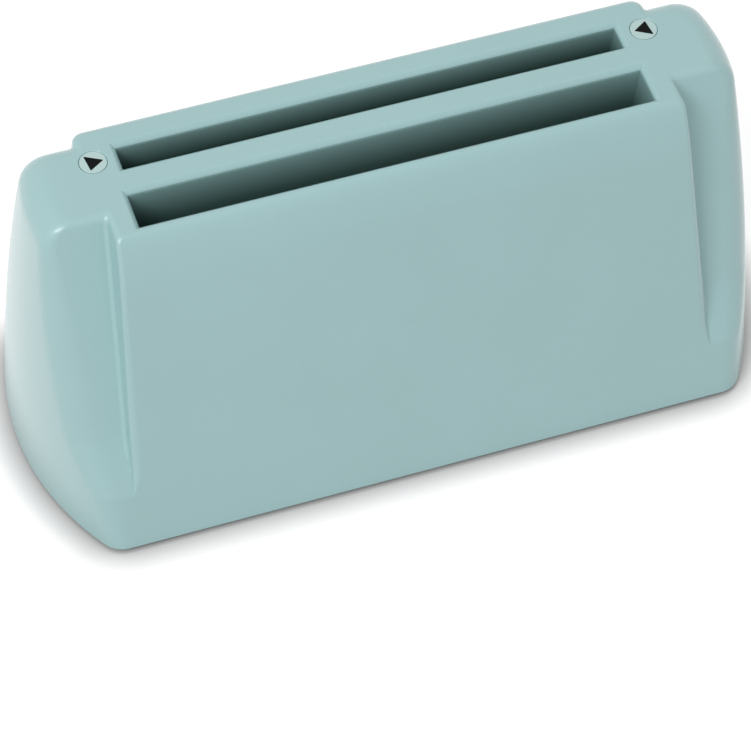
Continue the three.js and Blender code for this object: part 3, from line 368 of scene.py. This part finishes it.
def tidied(skin):
    bmesh.ops.remove_doubles(skin, verts=skin.verts, dist=merge_distance)
    bmesh.ops.dissolve_degenerate(skin, edges=skin.edges, dist=merge_distance)
    bmesh.ops.recalc_face_normals(skin, faces=skin.faces)
    return skin


def walled(skin, rings):
    """Faces between each ring and the next. A ring that lies on the axis is one point, repeated."""
    for lower, upper in zip(rings, rings[1:]):
        count = len(lower)
        for i in range(count):
            j = (i + 1) % count
            corners = list(dict.fromkeys((lower[i], lower[j], upper[j], upper[i])))
            if len(corners) > 2:
                skin.faces.new(corners)


def capped(skin, rings):
    """A closed skin over rings of equally many points, with a flat cap at each end."""
    walled(skin, rings)
    skin.faces.new(list(reversed(rings[0])))
    skin.faces.new(rings[-1])
    return tidied(skin)


def loft(sections):
    skin = bmesh.new()
    return capped(skin, [[skin.verts.new((x, y, z)) for x, y in points] for z, points in sections])


def laid_along(axis, skin):
    """A skin drawn along Z, laid along another axis: drawn as y and z for X, and as z and x for Y."""
    turns = {"Z": (0, 1, 2), "X": (2, 0, 1), "Y": (1, 2, 0)}[axis]
    for vert in skin.verts:
        drawn = vert.co.copy()
        vert.co = [drawn[k] for k in turns]
    return tidied(skin)


def prism(outline, ends, axis="Z"):
    """An outline pushed along an axis."""
    return laid_along(axis, loft([(place, outline) for place in ends]))


def block(x, y, z):
    return prism(rectangle(x, y), z)


def turned(profile, axis="Z", sides=48):
    """A profile of (place along the axis, radius) turned round that axis."""
    skin = bmesh.new()
    angles = [2 * math.pi * i / sides for i in range(sides)]
    rings = []
    for place, radius in profile:
        if radius < merge_distance:
            rings.append([skin.verts.new((0, 0, place))] * sides)
            continue
        points = [(radius * math.cos(a), radius * math.sin(a), place) for a in angles]
        rings.append([skin.verts.new(point) for point in points])
    walled(skin, rings)
    return laid_along(axis, skin)


def moved(skin, x=0, y=0, z=0):
    bmesh.ops.translate(skin, verts=skin.verts, vec=(x, y, z))
    return skin


def object_of(name, skin):
    mesh = bpy.data.meshes.new(name)
    bmesh.ops.scale(skin, verts=skin.verts, vec=(1 / metre,) * 3)
    skin.to_mesh(mesh)
    skin.free()
    made = bpy.data.objects.new(name, mesh)
    bpy.context.scene.collection.objects.link(made)
    return made


def worked(base, steps):
    """The base after joins and cuts, each given as (operation, skin)."""
    tools = [object_of("tool", skin) for _, skin in steps]
    for (operation, _), tool in zip(steps, tools):
        change = base.modifiers.new(operation, "BOOLEAN")
        change.operation = operation
        change.solver = "EXACT"
        change.object = tool
    bpy.context.view_layer.update()
    done = bpy.data.meshes.new_from_object(base.evaluated_get(bpy.context.evaluated_depsgraph_get()))
    base.modifiers.clear()
    base.data = done
    for tool in tools:
        bpy.data.objects.remove(tool)
    return base


# Shader values

# A colour Mix node's sockets share their names with its other kinds, so they go by their places
mix_share = 0
mix_first = 6
mix_second = 7
mix_result = 2


class Value:
    """A shader number. Arithmetic on it adds the Math nodes that work it out."""

    def __init__(self, finish, socket):
        self.finish = finish
        self.socket = socket

    def output(self, which):
        return Value(self.finish, self.socket.node.outputs[which])

    def math(self, operation, first, second=0.0):
        return self.finish.node("ShaderNodeMath", {"operation": operation}, {0: first, 1: second})

    def __add__(self, other):
        return self.math("ADD", self, other)

    def __sub__(self, other):
        return self.math("SUBTRACT", self, other)

    def __rsub__(self, other):
        return self.math("SUBTRACT", other, self)

    def __mul__(self, other):
        return self.math("MULTIPLY", self, other)

    def __truediv__(self, other):
        return self.math("DIVIDE", self, other)

    def __rtruediv__(self, other):
        return self.math("DIVIDE", other, self)

    def __pow__(self, other):
        return self.math("POWER", self, other)

    def __rpow__(self, other):
        return self.math("POWER", other, self)

    def __abs__(self):
        return self.math("ABSOLUTE", self)

    def over(self, threshold):
        return self.math("GREATER_THAN", self, threshold)

    def at_least(self, other):
        return self.math("MAXIMUM", self, other)

    def at_most(self, other):
        return self.math("MINIMUM", self, other)

    __radd__ = __add__
    __rmul__ = __mul__


class Finish:
    """A material, or the world, and the one method that adds a node to it."""

    def __init__(self, name, kind=bpy.data.materials):
        self.holder = kind.new(name)
        self.holder.use_nodes = True
        self.tree = self.holder.node_tree
        self.tree.nodes.clear()

    def node(self, kind, settings, sockets):
        made = self.tree.nodes.new(kind)
        for setting, value in settings.items():
            setattr(made, setting, value)
        for name, value in sockets.items():
            if isinstance(value, Value):
                self.tree.links.new(value.socket, made.inputs[name])
            else:
                made.inputs[name].default_value = value
        return Value(self, made.outputs[0]) if made.outputs else None

    def place(self):
        """Where the point lies on the piece, in metres."""
        return self.node("ShaderNodeTexCoord", {}, {}).output("Object")

    def stretched(self, place, scale):
        return self.node("ShaderNodeMapping", {}, {"Vector": place, "Scale": scale})

    def noise(self, place, size, detail=2.0, roughness=0.5):
        """Even noise between 0 and 1 whose lumps measure about a size in millimetres."""
        sockets = {"Vector": place, "Scale": metre / size, "Detail": detail, "Roughness": roughness}
        return self.node("ShaderNodeTexNoise", {}, sockets)

    def cells(self, place, size):
        return self.node("ShaderNodeTexVoronoi", {}, {"Vector": place, "Scale": metre / size})

    def mixed(self, share, first, second):
        sockets = {mix_share: share, mix_first: first, mix_second: second}
        return self.node("ShaderNodeMix", {"data_type": "RGBA"}, sockets).output(mix_result)

    def bump(self, height, depth):
        """A Normal from a height between 0 and 1 that stands for a depth in millimetres."""
        sockets = {"Height": height, "Distance": depth / metre, "Strength": 1.0}
        return self.node("ShaderNodeBump", {}, sockets)

    def seen(self):
        """1 where the camera sees the studio, also in a gloss or through glass, and 0 for its light."""
        path = self.node("ShaderNodeLightPath", {}, {})
        sight = path.output("Is Camera Ray")
        for ray in ("Is Glossy Ray", "Is Transmission Ray"):
            sight = sight.at_least(path.output(ray))
        return sight

    def surface(self, sockets):
        shader = self.node("ShaderNodeBsdfPrincipled", {}, sockets)
        self.node("ShaderNodeOutputMaterial", {}, {"Surface": shader})
        return self.holder


def linear(code):
    """A colour written as a hexadecimal screen colour, as linear red, green, blue and alpha."""
    def channel(value):
        share = value / 255
        return share / 12.92 if share <= 0.04045 else ((share + 0.055) / 1.055) ** 2.4

    return (channel(code >> 16), channel(code >> 8 & 255), channel(code & 255), 1.0)


def shaded(colour, factor):
    return (*(channel * factor for channel in colour[:3]), 1.0)


# Noise runs from 0 to 1
noise_middle = 0.5


def uneven(level, *parts):
    """A level with noises on it, each centred and as wide as the spread beside it."""
    for noise, spread in parts:
        level = level + (noise - noise_middle) * spread
    return level


# Moulded plastic: a spark-eroded grain, and a faint unevenness of colour and sheen
cloud_size = 45
cloud_share = 0.7
cloud_sheen = 0.06
fleck_size = 1.6
grain_size = 0.35
grain_relief = 0.02
grain_roughness = 0.6
grain_sheen = 0.12
even_mottling = 0.05
coat_roughness = 0.22


def moulded_plastic(
    name,
    code,
    roughness,
    grain=grain_size,
    grain_depth=grain_relief,
    mottling=even_mottling,
    coat=0.0,
    painted_shade=None,
):
    """Where a painted shade is given, its function says how far the plastic is darkened at each point."""
    finish = Finish(name)
    place = finish.place()
    colour = linear(code)
    cloud = finish.noise(place, cloud_size, detail=3)
    fleck = finish.noise(place, fleck_size)
    share = cloud * cloud_share + fleck * (1 - cloud_share)
    base = finish.mixed(share, shaded(colour, 1 - mottling), shaded(colour, 1 + mottling))
    if painted_shade:
        # Painted shade: the base colour darkens towards the chute colour where the function says
        base = finish.mixed(painted_shade(finish), base, linear(chute_painted_shade_code))
    grain_height = finish.noise(place, grain, detail=3, roughness=grain_roughness)
    return finish.surface(
        {
            "Base Color": base,
            "Roughness": uneven(roughness, (grain_height, grain_sheen), (cloud, cloud_sheen)),
            "Coat Weight": coat,
            "Coat Roughness": coat_roughness,
            "Normal": finish.bump(grain_height, grain_depth),
        }
    )


# Metal whose grain runs the way the sheet was rolled or the rod was ground
metal_line = 0.9
metal_line_roughness = 0.6
metal_line_share = 0.5
metal_line_sheen = 0.22
metal_stain = 18
metal_dull = 0.8
metal_bright = 1.15
spangle_size = 7


def worked_metal(name, code, roughness, lay=(1, 1, 1), spangle=0.0, scratch_depth=0.004):
    finish = Finish(name)
    place = finish.place()
    colour = linear(code)
    lines = finish.noise(finish.stretched(place, lay), metal_line, detail=4, roughness=metal_line_roughness)
    stain = finish.noise(place, metal_stain, detail=3)
    share = lines * metal_line_share + stain * (1 - metal_line_share)
    sheen = uneven(roughness, (lines, metal_line_sheen))
    if spangle:
        patches = finish.cells(place, spangle_size).output("Color")
        sheen = uneven(sheen, (finish.node("ShaderNodeSeparateColor", {}, {0: patches}), spangle))
    return finish.surface(
        {
            "Base Color": finish.mixed(share, shaded(colour, metal_dull), shaded(colour, metal_bright)),
            "Metallic": 1.0,
            "Roughness": sheen,
            "Normal": finish.bump(lines, scratch_depth),
        }
    )


# Roller rubber, ground round the roller, with a paler bloom
rubber_grind = 0.5
rubber_grind_lay = (1, 0.2, 0.2)
rubber_grind_depth = 0.03
rubber_bloom = 14
rubber_roughness = 0.72
rubber_sheen = 0.2


def roller_rubber():
    finish = Finish("roller_rubber")
    place = finish.place()
    grind = finish.noise(finish.stretched(place, rubber_grind_lay), rubber_grind, detail=3)
    bloom = finish.noise(place, rubber_bloom, detail=3)
    return finish.surface(
        {
            "Base Color": finish.mixed(bloom, linear(0x1F2123), linear(0x2E3133)),
            "Roughness": uneven(rubber_roughness, (bloom, rubber_sheen)),
            "Normal": finish.bump(grind, rubber_grind_depth),
        }
    )


# Sintered bronze, pored and stained with oil
bronze_pore = 0.35
bronze_pore_depth = 0.03
bronze_stain = 4
bronze_roughness = 0.42
bronze_sheen = 0.2


def sintered_bronze():
    finish = Finish("sintered_bronze")
    place = finish.place()
    pores = finish.cells(place, bronze_pore)
    stain = finish.noise(place, bronze_stain, detail=3)
    return finish.surface(
        {
            "Base Color": finish.mixed(stain, linear(0x8C6A3B), linear(0xB98E52)),
            "Metallic": 1.0,
            "Roughness": uneven(bronze_roughness, (stain, bronze_sheen)),
            "Normal": finish.bump(pores, bronze_pore_depth),
        }
    )


# Circuit board: green lacquer over tracks
track_stagger = 0.35
track_scale = 90.0
track_gap = 0.03
lacquer_ripple = 1.5
lacquer_ripple_depth = 0.01
lacquer_roughness = 0.32
lacquer_sheen = 0.1


def board_green():
    finish = Finish("board_green")
    place = finish.place()
    tracks = finish.node(
        "ShaderNodeTexBrick",
        {"offset": track_stagger},
        {
            "Vector": place,
            "Scale": track_scale,
            "Mortar Size": track_gap,
            "Color1": linear(0x17513A),
            "Color2": linear(0x1B5E41),
            "Mortar": linear(0x2C7C57),
        },
    )
    ripple = finish.noise(place, lacquer_ripple)
    return finish.surface(
        {
            "Base Color": tracks,
            "Roughness": uneven(lacquer_roughness, (ripple, lacquer_sheen)),
            "Normal": finish.bump(ripple, lacquer_ripple_depth),
        }
    )


# Ink of the pointers
ink_speck = 0.3
ink_speck_depth = 0.004
ink_roughness = 0.5
ink_sheen = 0.2
ink_specular = 0.1


def pointer_ink():
    finish = Finish("pointer_ink")
    speck = finish.noise(finish.place(), ink_speck)
    return finish.surface(
        {
            "Base Color": finish.mixed(speck, linear(0x040506), linear(0x0A0C0D)),
            "Roughness": uneven(ink_roughness, (speck, ink_sheen)),
            "Specular IOR Level": ink_specular,
            "Normal": finish.bump(speck, ink_speck_depth),
        }
    )


def within(value, middle, half):
    """1 inside a band round a middle, in metres along one axis, and 0 outside it."""
    return 1 - abs(value - middle / metre).over(half / metre)


def chute_painted_shade(finish):
    """How much painted shade darkens the walls of the chutes, and 0 everywhere else."""
    place = finish.node("ShaderNodeSeparateXYZ", {}, {0: finish.place()})
    x, y, z = (place.output(axis) for axis in "XYZ")
    depth = (case_height / metre - z) * metre
    painted_shade = ((depth - chute_shade_start) / chute_shade_depth).at_least(0.0).at_most(1.0)
    chutes = 0
    for middle, width, length, painted_shade_weight in (
        (front_slot_y, front_slot_width, front_slot_length, front_chute_painted_shade),
        (rear_slot_y, rear_slot_width, rear_slot_length, rear_chute_painted_shade),
    ):
        inside = within(y, middle, width / 2 + lip_run) * within(x, 0, length / 2 + lip_run)
        chutes = chutes + inside * painted_shade_weight
    return chutes * (painted_shade * chute_fade_share + painted_shade.over(chute_step_start) * chute_step_share)


finish_of_slot = {
    # The case plastic carries painted shade in its chutes, darker with depth
    "case_plastic": moulded_plastic("case_plastic", 0xA4CACB, 0.38, coat=0.85, painted_shade=chute_painted_shade),
    "disc_plastic": moulded_plastic("disc_plastic", 0xBFDAD8, 0.36, grain=0.25, grain_depth=0.01),
    "black_plastic": moulded_plastic("black_plastic", 0x222526, 0.5, grain=0.4, mottling=0.15),
    "ivory_plastic": moulded_plastic(
        "ivory_plastic", 0xD9D4C3, 0.36, grain=0.6, grain_depth=0.006, mottling=0.04
    ),
    "steel": worked_metal("ground_steel", 0xA9ADB0, 0.3, lay=(0.12, 1, 1)),
    "zinc_plate": worked_metal("zinc_plated_sheet", 0xB9BCAE, 0.38, lay=(0.3, 1, 1), spangle=0.1),
    "spring_steel": worked_metal("spring_wire", 0x8D9196, 0.28, scratch_depth=0.002),
    "rubber": roller_rubber(),
    "bronze": sintered_bronze(),
    "board_green": board_green(),
}
ink = pointer_ink()


# Pieces

body_of_node = {
    node: body
    for body, nodes in frame["record"]["behaviour"]["bodies"].items()
    for node in nodes
}
slot_of_node = {part["node"]: part["material_slot"] for part in frame["record"]["subparts"]}
replaced = set()


def coated(piece, finish):
    piece.data.materials.clear()
    piece.data.materials.append(finish)
    piece.data.shade_smooth()


def even_flats(piece):
    """Normals that stay even over flats beside soft curves."""
    even = piece.modifiers.new("even flats", "WEIGHTED_NORMAL")
    even.keep_sharp = True
    return even


def finished(piece, finish):
    coated(piece, finish)
    piece.data.set_sharp_from_angle(angle=facet_angle)
    even_flats(piece).weight = flat_weight
    return piece


def stand_in(piece, node):
    """A piece that takes the place of a node on its body, in the finish of the node's slot."""
    slot = slot_of_node[node]
    finished(piece, finish_of_slot[slot])
    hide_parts(node)
    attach(piece, body_of_node[node])
    replaced.add(node)
    return piece


def in_place_of(node, skin):
    """The same for a skin drawn in place."""
    return stand_in(object_of(f"{node}_piece", skin), node)


def slot_cutter(y, length, width):
    """A slot: a funnel with a crisp bend at the roof and a soft one into the chute, which narrows below."""
    deep = chute_depth + cut_overrun - lip_depth
    lip = [
        (0, -lip_depth - lip_run_out, 0),
        (0, -lip_depth, lip_wall_bend),
        (lip_run, 0, lip_roof_bend),
        (lip_run + lip_run_out, 0, 0),
    ]
    levels = [(-chute_depth - cut_overrun, -deep * chute_end_draft_share, -deep * chute_wall_draft_share)]
    levels += [(level, spread, spread) for spread, level in softened(lip, lip_steps, closed=False)[1:-1]]
    levels.append((cut_overrun, levels[-1][1], levels[-1][2]))
    sections = []
    for level, spread_x, spread_y in levels:
        half_x = length / 2 + spread_x
        half_y = width / 2 + spread_y
        sections.append((case_height + level, rectangle((-half_x, half_x), (y - half_y, y + half_y))))
    return loft(sections)


def chute(y, length, width):
    x = length / 2 + chute_wall
    half = width / 2 + chute_wall
    return block((-x, x), (y - half, y + half), (case_height - chute_depth, case_height - lip_depth))


def case_skin(inset, bottom):
    return loft([(case_height - depth, case_section(depth, inset)) for depth in case_depths(inset, bottom)])


def disc_seat(x):
    low = -(disc_high.z - disc_low.z) - seat
    radius = disc_radius + disc_gap
    rim = []
    for step in range(rim_steps + 1):
        angle = math.pi / 2 * step / rim_steps
        rise = disc_rim_round * (math.sin(angle) - 1)
        rim.append((rise, radius + disc_rim_round * (1 - math.cos(angle))))
    profile = [(low, 0), (low, radius), *rim, (cut_overrun, radius + disc_rim_round), (cut_overrun, 0)]
    return moved(turned(profile, sides=disc_sides), x, disc_y, case_height)


# Service recess in the back, with the power inlet and the switch
service_x = (-116, -54)
service_z = (11, 35)
service_depth = 9
service_panel_y = case_half_depth - service_depth
inlet_low, inlet_high = frame_box("power_inlet")
inlet_x = (inlet_low.x + inlet_high.x) / 2
switch_low, switch_high = frame_box("rocker_switch_body")
switch_x = (switch_low.x + switch_high.x) / 2
switch_half_width = 6.5
switch_half_length = 9.5
inlet_radius = 4.6
panel_z = sum(service_z) / 2


def upper_housing():
    shell = object_of("moulded_case", case_skin(0, skirt_depth))
    inside = case_skin(wall, skirt_depth + cut_overrun)
    service_tray = block(
        (service_x[0] - wall, service_x[1] + wall),
        (service_panel_y - wall, case_back_at(case_height - service_z[0]) - wall / 2),
        (service_z[0] - wall, service_z[1] + wall),
    )
    recess = block(service_x, (service_panel_y, case_half_depth + cut_overrun), service_z)
    panel = (service_panel_y - wall - cut_overrun, service_panel_y + cut_overrun)
    inlet_hole = moved(turned(rod(panel, inlet_radius + seat), "Y"), inlet_x, 0, panel_z)
    switch_hole = block(
        (switch_x - switch_half_width - seat, switch_x + switch_half_width + seat),
        panel,
        (panel_z - switch_half_length - seat, panel_z + switch_half_length + seat),
    )
    return worked(
        shell,
        [
            ("DIFFERENCE", inside),
            ("UNION", chute(front_slot_y, front_slot_length, front_slot_width)),
            ("UNION", chute(rear_slot_y, rear_slot_length, rear_slot_width)),
            ("UNION", service_tray),
            ("DIFFERENCE", slot_cutter(front_slot_y, front_slot_length, front_slot_width)),
            ("DIFFERENCE", slot_cutter(rear_slot_y, rear_slot_length, rear_slot_width)),
            ("DIFFERENCE", disc_seat(-disc_x)),
            ("DIFFERENCE", disc_seat(disc_x)),
            ("DIFFERENCE", recess),
            ("DIFFERENCE", inlet_hole),
            ("DIFFERENCE", switch_hole),
        ],
    )


stand_in(upper_housing(), "upper_housing")


def indicator_disc(name, x):
    corners = bent_alike(rod((disc_low.z, case_height - disc_dip), disc_radius), disc_edge_round)
    return object_of(name, moved(turned(softened(corners, closed=False), sides=disc_sides), x, disc_y))


def pointer(name, x, points):
    """A printed triangle on the disc, with corners that the print rounds off."""
    top = case_height - disc_dip
    outline = softened(bent_alike(points, pointer_corner))
    return object_of(name, moved(prism(outline, (top, top + pointer_rise)), x, disc_y))


# Where each pointer's corners lie from its disc's centre: both point in towards the slots
pointer_points = {
    "left": [(4.45, -0.1), (-3.1, 4.0), (-2.1, -4.2)],
    "right": [(-4.2, 0), (3.0, -4.2), (2.1, 4.0)],
}
for side_name, side in (("left", -1), ("right", 1)):
    stand_in(indicator_disc(f"{side_name}_disc", side * disc_x), f"{side_name}_indicator_disc")
    arrow = finished(pointer(f"{side_name}_pointer", side * disc_x, pointer_points[side_name]), ink)
    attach(arrow, body_of_node["upper_housing"])


# Roller sleeves: ground rubber on a bore that the shaft carries
sleeve_bore = 3.3
sleeve_chamfer = 0.5
sleeve_bend = 0.2
sleeve_steps = 3
sleeve_sides = 96


def roller_sleeve(node):
    low, high = frame_box(node)
    radius = (high.y - low.y) / 2
    corners = [
        (0, sleeve_bore, 0),
        (low.x, sleeve_bore, 0),
        (low.x, radius - sleeve_chamfer, sleeve_bend),
        (low.x + sleeve_chamfer, radius, sleeve_bend),
        (high.x - sleeve_chamfer, radius, sleeve_bend),
        (high.x, radius - sleeve_chamfer, sleeve_bend),
        (high.x, sleeve_bore, 0),
        (0, sleeve_bore, 0),
    ]
    skin = turned(softened(corners, sleeve_steps, closed=False), "X", sleeve_sides)
    in_place_of(node, moved(skin, 0, (low.y + high.y) / 2, (low.z + high.z) / 2))


# Feet: moulded rubber with soft edges
foot_edge = 0.75
foot_steps = 6
foot_sides = 64


def rubber_foot(node):
    low, high = frame_box(node)
    corners = bent_alike(rod((low.z, high.z), (high.x - low.x) / 2), foot_edge)
    skin = turned(softened(corners, foot_steps, closed=False), sides=foot_sides)
    in_place_of(node, moved(skin, (low.x + high.x) / 2, (low.y + high.y) / 2))


# Screws from below: a domed head with a cross recess, a shank, and a thread
screw_head = 1.65
screw_dome = 0.9
screw_head_edge = 0.1
screw_shank = 1.8
screw_thread_outer = 0.9
screw_thread_root = 0.72
screw_steps = 5
screw_sides = 40
thread_pitch = 0.6
base_screw_shank_run = 2.45
frame_screw_shank_run = 4.2
cross_length = 3.6
cross_width = 0.75
cross_depth = 1.1


def cross_recess(low_z):
    arm = cross_length / 2
    half = cross_width / 2
    outline = [
        (arm, -half), (arm, half), (half, half), (half, arm), (-half, arm), (-half, half),
        (-arm, half), (-arm, -half), (-half, -half), (-half, -arm), (half, -arm), (half, -half),
    ]
    tip = [(x / 2, y / 2) for x, y in outline]
    return loft([(low_z - cut_overrun, outline), (low_z, outline), (low_z + cross_depth, tip)])


def pan_screw(node, shank_run):
    low, high = frame_box(node)
    place = Vector(((low.x + high.x) / 2, (low.y + high.y) / 2, 0))
    radius = (high.y - low.y) / 2
    head_top = low.z + screw_head
    thread_start = head_top + shank_run
    corners = [
        (low.z, 0, 0),
        (low.z, radius - screw_dome, screw_dome),
        (low.z + screw_dome, radius, screw_dome / 2),
        (head_top, radius, screw_head_edge),
        (head_top, screw_shank, 0),
        (thread_start, screw_shank, 0),
        (thread_start, screw_thread_root, 0),
    ]
    for turn in range(int((high.z - thread_start) / thread_pitch)):
        start = thread_start + turn * thread_pitch
        corners.append((start + thread_pitch / 2, screw_thread_outer, 0))
        corners.append((start + thread_pitch, screw_thread_root, 0))
    corners.append((high.z, 0, 0))
    skin = turned(softened(corners, screw_steps, closed=False), sides=screw_sides)
    screw = worked(object_of(f"{node}_piece", skin), [("DIFFERENCE", cross_recess(low.z))])
    screw.data.transform(Matrix.Translation(place / metre))
    stand_in(screw, node)


# Power inlet: a round jack with its contact pin, its flange on the recess's panel
inlet_flange = 1.2
inlet_bore = 2.8
inlet_bore_depth = 9
inlet_pin = 1
inlet_back_bend = 0.2
inlet_flange_bend = 0.1
inlet_face_bend = 0.35
inlet_mouth_bend = 0.3
inlet_pin_bend = 0.5
inlet_steps = 5
inlet_sides = 64


def power_inlet():
    face = inlet_high.y
    flange_back = face - inlet_flange
    flange_radius = (inlet_high.x - inlet_low.x) / 2
    bore_floor = face - inlet_bore_depth
    corners = [
        (inlet_low.y, 0, 0),
        (inlet_low.y, inlet_radius, inlet_back_bend),
        (flange_back, inlet_radius, 0),
        (flange_back, flange_radius, inlet_flange_bend),
        (face, flange_radius, inlet_face_bend),
        (face, inlet_bore, inlet_mouth_bend),
        (bore_floor, inlet_bore, 0),
        (bore_floor, inlet_pin, 0),
        (flange_back, inlet_pin, inlet_pin_bend),
        (flange_back, 0, 0),
    ]
    skin = turned(softened(corners, inlet_steps, closed=False), "Y", inlet_sides)
    in_place_of("power_inlet", moved(skin, inlet_x, 0, panel_z))


# Rocker: two dished faces that meet in a valley
switch_bezel = 1.6
rocker_gap = 0.5
rocker_crown = 3.4
rocker_belly_share = 0.5
rocker_tilt = math.radians(7)
rocker_dish = 0.25
rocker_belly_bend = 1.2
rocker_edge_bend = 0.3
rocker_face_bend = 1.5
rocker_steps = 6


def rocker_button():
    half_x = switch_half_width - switch_bezel - rocker_gap
    half_z = switch_half_length - switch_bezel - 2 * rocker_gap
    belly_z = half_z * rocker_belly_share
    edge = rocker_crown + rocker_gap
    dish = rocker_crown - rocker_dish
    corners = [
        (-rocker_crown, -belly_z, rocker_belly_bend),
        (rocker_crown, -half_z, rocker_edge_bend),
        (edge, -half_z, rocker_edge_bend),
        (dish, -half_z / 2, rocker_face_bend),
        (rocker_crown - rocker_gap, 0, rocker_face_bend),
        (dish, half_z / 2, rocker_face_bend),
        (edge, half_z, rocker_edge_bend),
        (rocker_crown, half_z, rocker_edge_bend),
        (-rocker_crown, belly_z, rocker_belly_bend),
    ]
    skin = prism(softened(corners, rocker_steps), (-half_x, half_x), "X")
    lean = Matrix.Rotation(rocker_tilt, 3, "X")
    bmesh.ops.rotate(skin, verts=skin.verts, cent=(0, 0, 0), matrix=lean)
    in_place_of("rocker_button", moved(skin, switch_x, service_panel_y, panel_z))


# Carrier springs: round wire with a closed turn at each end.
spring_wire = 0.35
spring_turns = 5
spring_closed_pitch = 0.76
spring_sides = 12
spring_steps = 24


def spring_rise(turn, run):
    """How far along its axis the wire has come after a number of turns."""
    open_pitch = (run - 2 * spring_closed_pitch) / (spring_turns - 2)
    open_turns = min(max(turn - 1, 0), spring_turns - 2)
    closed_turns = min(turn, 1) + max(turn - spring_turns + 1, 0)
    return closed_turns * spring_closed_pitch + open_turns * open_pitch


def carrier_spring(row, side_name):
    """A spring of a row's carriers, whose fixed end lies outwards, to the back or to the front."""
    node = f"{row}_{side_name}_carrier_spring"
    low, high = frame_box(node)
    middle = (low + high) / 2
    coil_radius = (high.x - low.x) / 2 - spring_wire
    run = high.y - low.y - 2 * spring_wire
    along = Vector((0, 1, 0))
    sides = [2 * math.pi * side / spring_sides for side in range(spring_sides)]
    skin = bmesh.new()
    rings = []
    for step in range(spring_turns * spring_steps + 1):
        turn = step / spring_steps
        angle = 2 * math.pi * turn
        out = Vector((math.cos(angle), 0, math.sin(angle)))
        wire_y = low.y + spring_wire + spring_rise(turn, run)
        centre = Vector((middle.x, wire_y, middle.z)) + out * coil_radius
        ring = [centre + spring_wire * (out * math.cos(a) + along * math.sin(a)) for a in sides]
        rings.append([skin.verts.new(point) for point in ring])
    spring = in_place_of(node, capped(skin, rings))
    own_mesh(spring)


for side_name in ("left", "right"):
    carrier_spring("rear", side_name)
    carrier_spring("front", side_name)
for roller in ("rear", "middle", "front"):
    roller_sleeve(f"{roller}_roller_sleeve")
for corner in ("front_left", "rear_left", "front_right", "rear_right"):
    rubber_foot(f"foot_{corner}")
    pan_screw(f"base_screw_{corner}", base_screw_shank_run)
for corner in ("left_front", "left_rear", "right_front", "right_rear"):
    pan_screw(f"frame_screw_{corner}", frame_screw_shank_run)
power_inlet()
rocker_button()


# Every other node keeps its solid's mesh, with a finish and broken edges

def dressed(node):
    piece = frame["nodes"][node]
    coated(piece, finish_of_slot[slot_of_node[node]])
    flats = piece.modifiers.new("whole flats", "DECIMATE")
    flats.decimate_type = "DISSOLVE"
    flats.angle_limit = flat_tolerance
    edges = piece.modifiers.new("broken edges", "BEVEL")
    edges.width = edge_break / metre
    edges.segments = edge_segments
    edges.limit_method = "ANGLE"
    edges.angle_limit = facet_angle
    even_flats(piece)


for node in frame["nodes"]:
    if node not in replaced:
        dressed(node)


# Studio

def dome():
    """An even light from all round, in front of a white backdrop."""
    sky = Finish("studio", bpy.data.worlds)
    strength = dome_light + sky.seen() * (backdrop_white - dome_light)
    background = sky.node("ShaderNodeBackground", {}, {"Color": white, "Strength": strength})
    sky.node("ShaderNodeOutputWorld", {}, {"Surface": background})
    bpy.context.scene.world = sky.holder


def floor():
    half = floor_side / 2
    made = object_of("studio_floor", block((-half, half), (-half, half), (-floor_thickness, 0)))
    finish = Finish("studio_floor")
    near = {"Distance": contact_reach / metre}
    openness = finish.node("ShaderNodeAmbientOcclusion", {"samples": contact_samples}, near).output("AO")
    glow = finish.seen() * openness ** contact_shade
    made.data.materials.append(
        finish.surface(
            {
                "Base Color": (floor_grey, floor_grey, floor_grey, 1),
                "Roughness": floor_roughness,
                "Specular IOR Level": 0.0,
                "Emission Color": finish.mixed(glow, black, white),
                "Emission Strength": floor_white,
            }
        )
    )


def key_softbox():
    """A square soft light, turned to the machine."""
    lamp = bpy.data.lights.new("key_softbox", "AREA")
    lamp.shape = "SQUARE"
    lamp.size = key_side / metre
    lamp.energy = key_power
    made = bpy.data.objects.new("key_softbox", lamp)
    bpy.context.scene.collection.objects.link(made)
    made.location = Vector(key_place) / metre
    direction = (Vector(key_aim) - Vector(key_place)).normalized()
    made.rotation_mode = "QUATERNION"
    made.rotation_quaternion = direction.to_track_quat("-Z", "Y")


def camera():
    made = bpy.data.objects.new("camera", bpy.data.cameras.new("camera"))
    bpy.context.scene.collection.objects.link(made)
    sin_yaw = math.sin(camera_yaw)
    cos_yaw = math.cos(camera_yaw)
    cos_pitch = math.cos(camera_pitch)
    ahead = Vector((sin_yaw * cos_pitch, cos_yaw * cos_pitch, -math.sin(camera_pitch)))
    level = Vector((cos_yaw, -sin_yaw, 0))
    above = level.cross(ahead)
    right = level * math.cos(camera_roll) + above * math.sin(camera_roll)
    upward = above * math.cos(camera_roll) - level * math.sin(camera_roll)
    turn = Matrix((right, upward, -ahead)).transposed()
    made.matrix_world = Matrix.Translation(Vector(camera_place) / metre) @ turn.to_4x4()
    made.data.sensor_width = sensor_side
    made.data.lens = focal_pixels * sensor_side / picture_height_pixels
    made.data.clip_end = camera_reach / metre
    bpy.context.scene.camera = made


dome()
floor()
key_softbox()
camera()

bpy.context.scene.view_settings.view_transform = "Standard"
